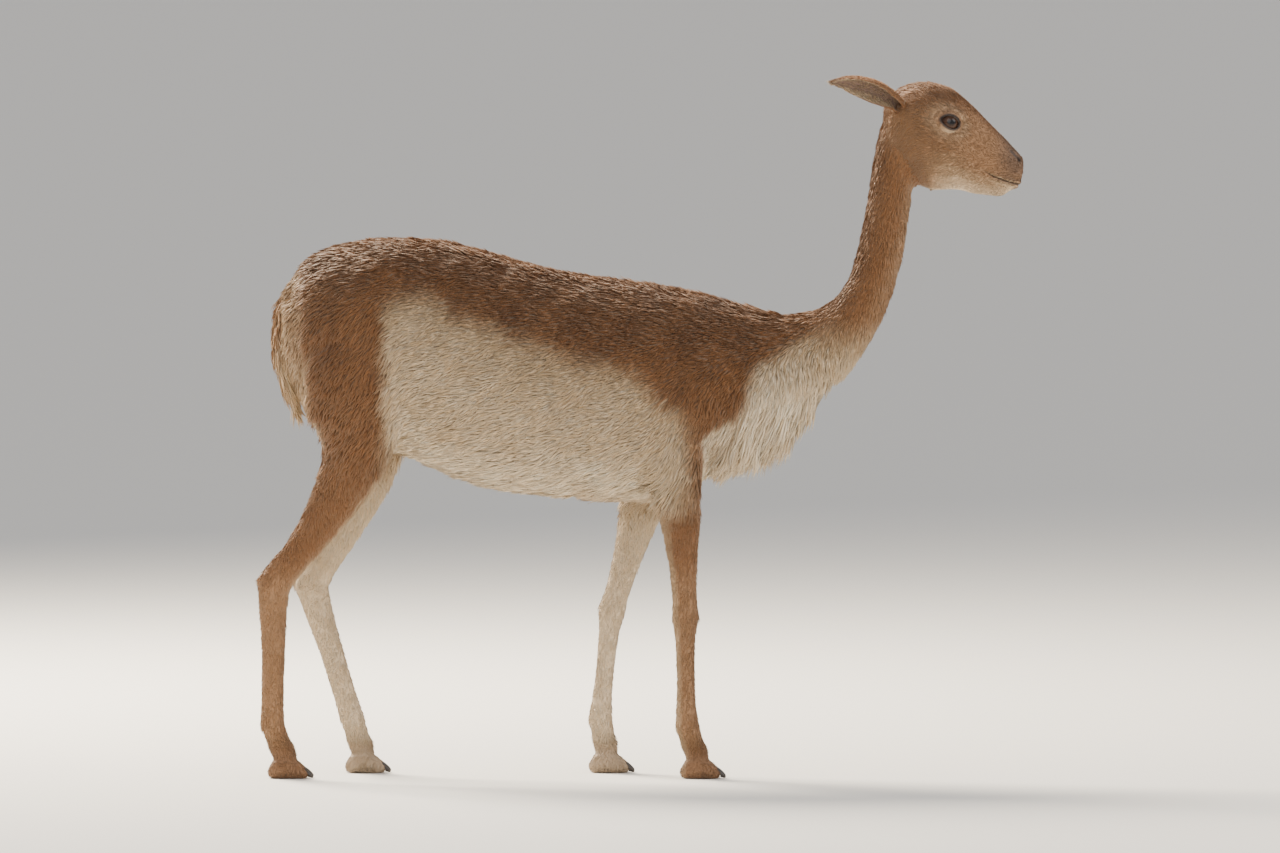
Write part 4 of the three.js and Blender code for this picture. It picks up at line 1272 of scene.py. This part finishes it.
def coat_material(name, grain, contrast, bump, **inputs):
    """Reads the painted colour and breaks it up with fine grain."""
    made, tree, shader = material(name, **inputs)
    painted = add_node(tree, "ShaderNodeAttribute", {"attribute_name": "coat"})
    spots = add_node(tree, "ShaderNodeTexCoord")
    noise = add_node(tree, "ShaderNodeTexNoise", Scale=grain, Detail=3, Vector=spots.outputs["Object"])
    tone = noise.outputs["Fac"]
    spread = add_node(tree, "ShaderNodeMapRange", To_Min=1 - contrast, To_Max=1 + contrast, Value=tone)
    shaded = add_node(tree, "ShaderNodeVectorMath", {"operation": "SCALE"},
                      Vector=painted.outputs["Color"], Scale=spread.outputs["Result"])
    fill(tree, shader, Base_Color=shaded.outputs["Vector"])
    if bump:
        relief = add_node(tree, "ShaderNodeBump", Strength=0.6, Distance=bump * MM, Height=tone)
        fill(tree, shader, Normal=relief.outputs["Normal"])
    return made


def horn_material():
    """Dark horn with fine growth bands."""
    made, tree, shader = material("horn", Roughness=0.42)
    spots = add_node(tree, "ShaderNodeTexCoord")
    bands = add_node(tree, "ShaderNodeTexWave", {"bands_direction": "Y"},
                     Scale=160, Distortion=6, Detail=3, Vector=spots.outputs["Object"])
    ramp = add_node(tree, "ShaderNodeValToRGB", Fac=bands.outputs["Fac"])
    ramp.color_ramp.elements[0].color = (0.024, 0.018, 0.014, 1)
    ramp.color_ramp.elements[1].color = (0.045, 0.034, 0.027, 1)
    relief = add_node(tree, "ShaderNodeBump", Strength=0.3, Distance=0.2 * MM, Height=bands.outputs["Fac"])
    fill(tree, shader, Base_Color=ramp.outputs["Color"], Normal=relief.outputs["Normal"])
    return made


# Stage, light and camera
VIEW = {"distance": 35.0, "elevation": math.radians(2.5), "metres_per_pixel": 0.016, "zoom": 9.2}
PICTURE_WIDTH = 1280
SENSOR = 36.0


def aim(thing, target):
    thing.rotation_euler = (Vector(target) - thing.location).to_track_quat("-Z", "Y").to_euler()


def camera():
    """Looks from the photograph's side and height, zoomed in."""
    target = (np.array(CAD_BOX[0]) + np.array(CAD_BOX[1])) / 2
    data = bpy.data.cameras.new("camera")
    seen = new_object("camera", data)
    elevation = VIEW["elevation"]
    seen.location = target + np.array([-math.cos(elevation), 0, math.sin(elevation)]) * VIEW["distance"]
    data.sensor_width = SENSOR
    data.lens = SENSOR * VIEW["distance"] / VIEW["metres_per_pixel"] / PICTURE_WIDTH * VIEW["zoom"]
    data.clip_start = 0.5
    data.clip_end = 600
    aim(seen, target)
    bpy.context.scene.camera = seen


def soft_light(name, spot, size, power, colour):
    data = bpy.data.lights.new(name, "AREA")
    data.shape = "DISK"
    data.size = size
    data.energy = power
    data.color = colour
    lamp = new_object(name, data)
    lamp.location = spot
    aim(lamp, (0, 0, 0.75))


def stage():
    """A pale floor that rises into a plain backdrop far outside every view, and soft lights."""
    around = np.linspace(0, 2 * math.pi, 96, endpoint=False)
    rings = [(0.5, 0), (60, 0), (140, 0), (155, 1.5), (166, 5), (174, 11), (179, 20), (182, 34)]
    points = [(r * math.cos(a), r * math.sin(a), z) for r, z in rings for a in around]
    count = len(around)
    faces = [
        (i * count + j, i * count + (j + 1) % count, (i + 1) * count + (j + 1) % count, (i + 1) * count + j)
        for i in range(len(rings) - 1) for j in range(count)
    ]
    faces.append(tuple(reversed(range(count))))
    mesh = bpy.data.meshes.new("floor")
    mesh.from_pydata(points, [], faces)
    smooth_shading(mesh)
    floor = new_object("floor", mesh, material("floor", Roughness=0.9, Base_Color=(0.78, 0.75, 0.7, 1))[0])
    world = bpy.data.worlds.new("world")
    world.use_nodes = True
    sky = world.node_tree.nodes["Background"]
    fill(world.node_tree, sky, Color=(0.88, 0.89, 0.92, 1), Strength=0.8)
    bpy.context.scene.world = world
    soft_light("back", (3.2, 2.9, 3.9), 2.6, 1400, (1.0, 0.9, 0.74))
    soft_light("fill", (-5.5, -1.5, 3.0), 5.0, 150, (1.0, 0.98, 0.95))
    soft_light("front", (-1.0, -5.0, 3.0), 3.0, 90, (1.0, 0.97, 0.92))


def main():
    skin_look = coat_material("skin", 900, 0.22, 0.6, Roughness=0.75)
    coat_look = coat_material("coat", 1500, 0.16, 0, Roughness=0.6, Specular_IOR_Level=0.2,
                              Sheen_Weight=0.18, Sheen_Roughness=0.5, Sheen_Tint=(1.0, 0.86, 0.68, 1))
    eye_look = coat_material("eye", 400, 0.08, 0, Roughness=0.45, Specular_IOR_Level=0.1,
                             Coat_Weight=0.75, Coat_Roughness=0.02, Coat_IOR=1.38)
    lid_look = coat_material("lid", 1500, 0.25, 0.25, Roughness=0.4)

    skin = build_skin()
    refine(skin, lambda p: (regions(p)[0] > 0.5) & ((design(p)[0] > 560) | near_details(p, 20)))
    relax(skin, RELAX_STEPS["face"], step(0.2, 0.6, regions(coords(skin))[0]))
    refine(skin, lambda p: near_details(p, 6))
    carve_face(skin)
    points = coords(skin)
    points[:, 2] = np.maximum(points[:, 2], LOWEST_SKIN * MM)
    move_to(skin, points)
    smooth_shading(skin)
    piece = new_object("skin", skin, skin_look)
    unwrap_mesh(piece)
    paint(skin, markings(coords(skin), normals(skin)))
    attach(piece, BODY)
    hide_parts("chest", *(node for node in FLESH if not node.startswith("eye_")))

    short_coat(skin, coat_look)
    bib_coat(skin, coat_look)
    tail_piece(skin_look, coat_look)
    for side_name in SIDES:
        ear_piece(side_name, skin_look, coat_look)
        eye_piece(side_name, eye_look)
        lid_piece(side_name, lid_look)
        lash_piece(side_name, lid_look)
    nail_pieces(horn_material())
    stage()
    camera()


main()
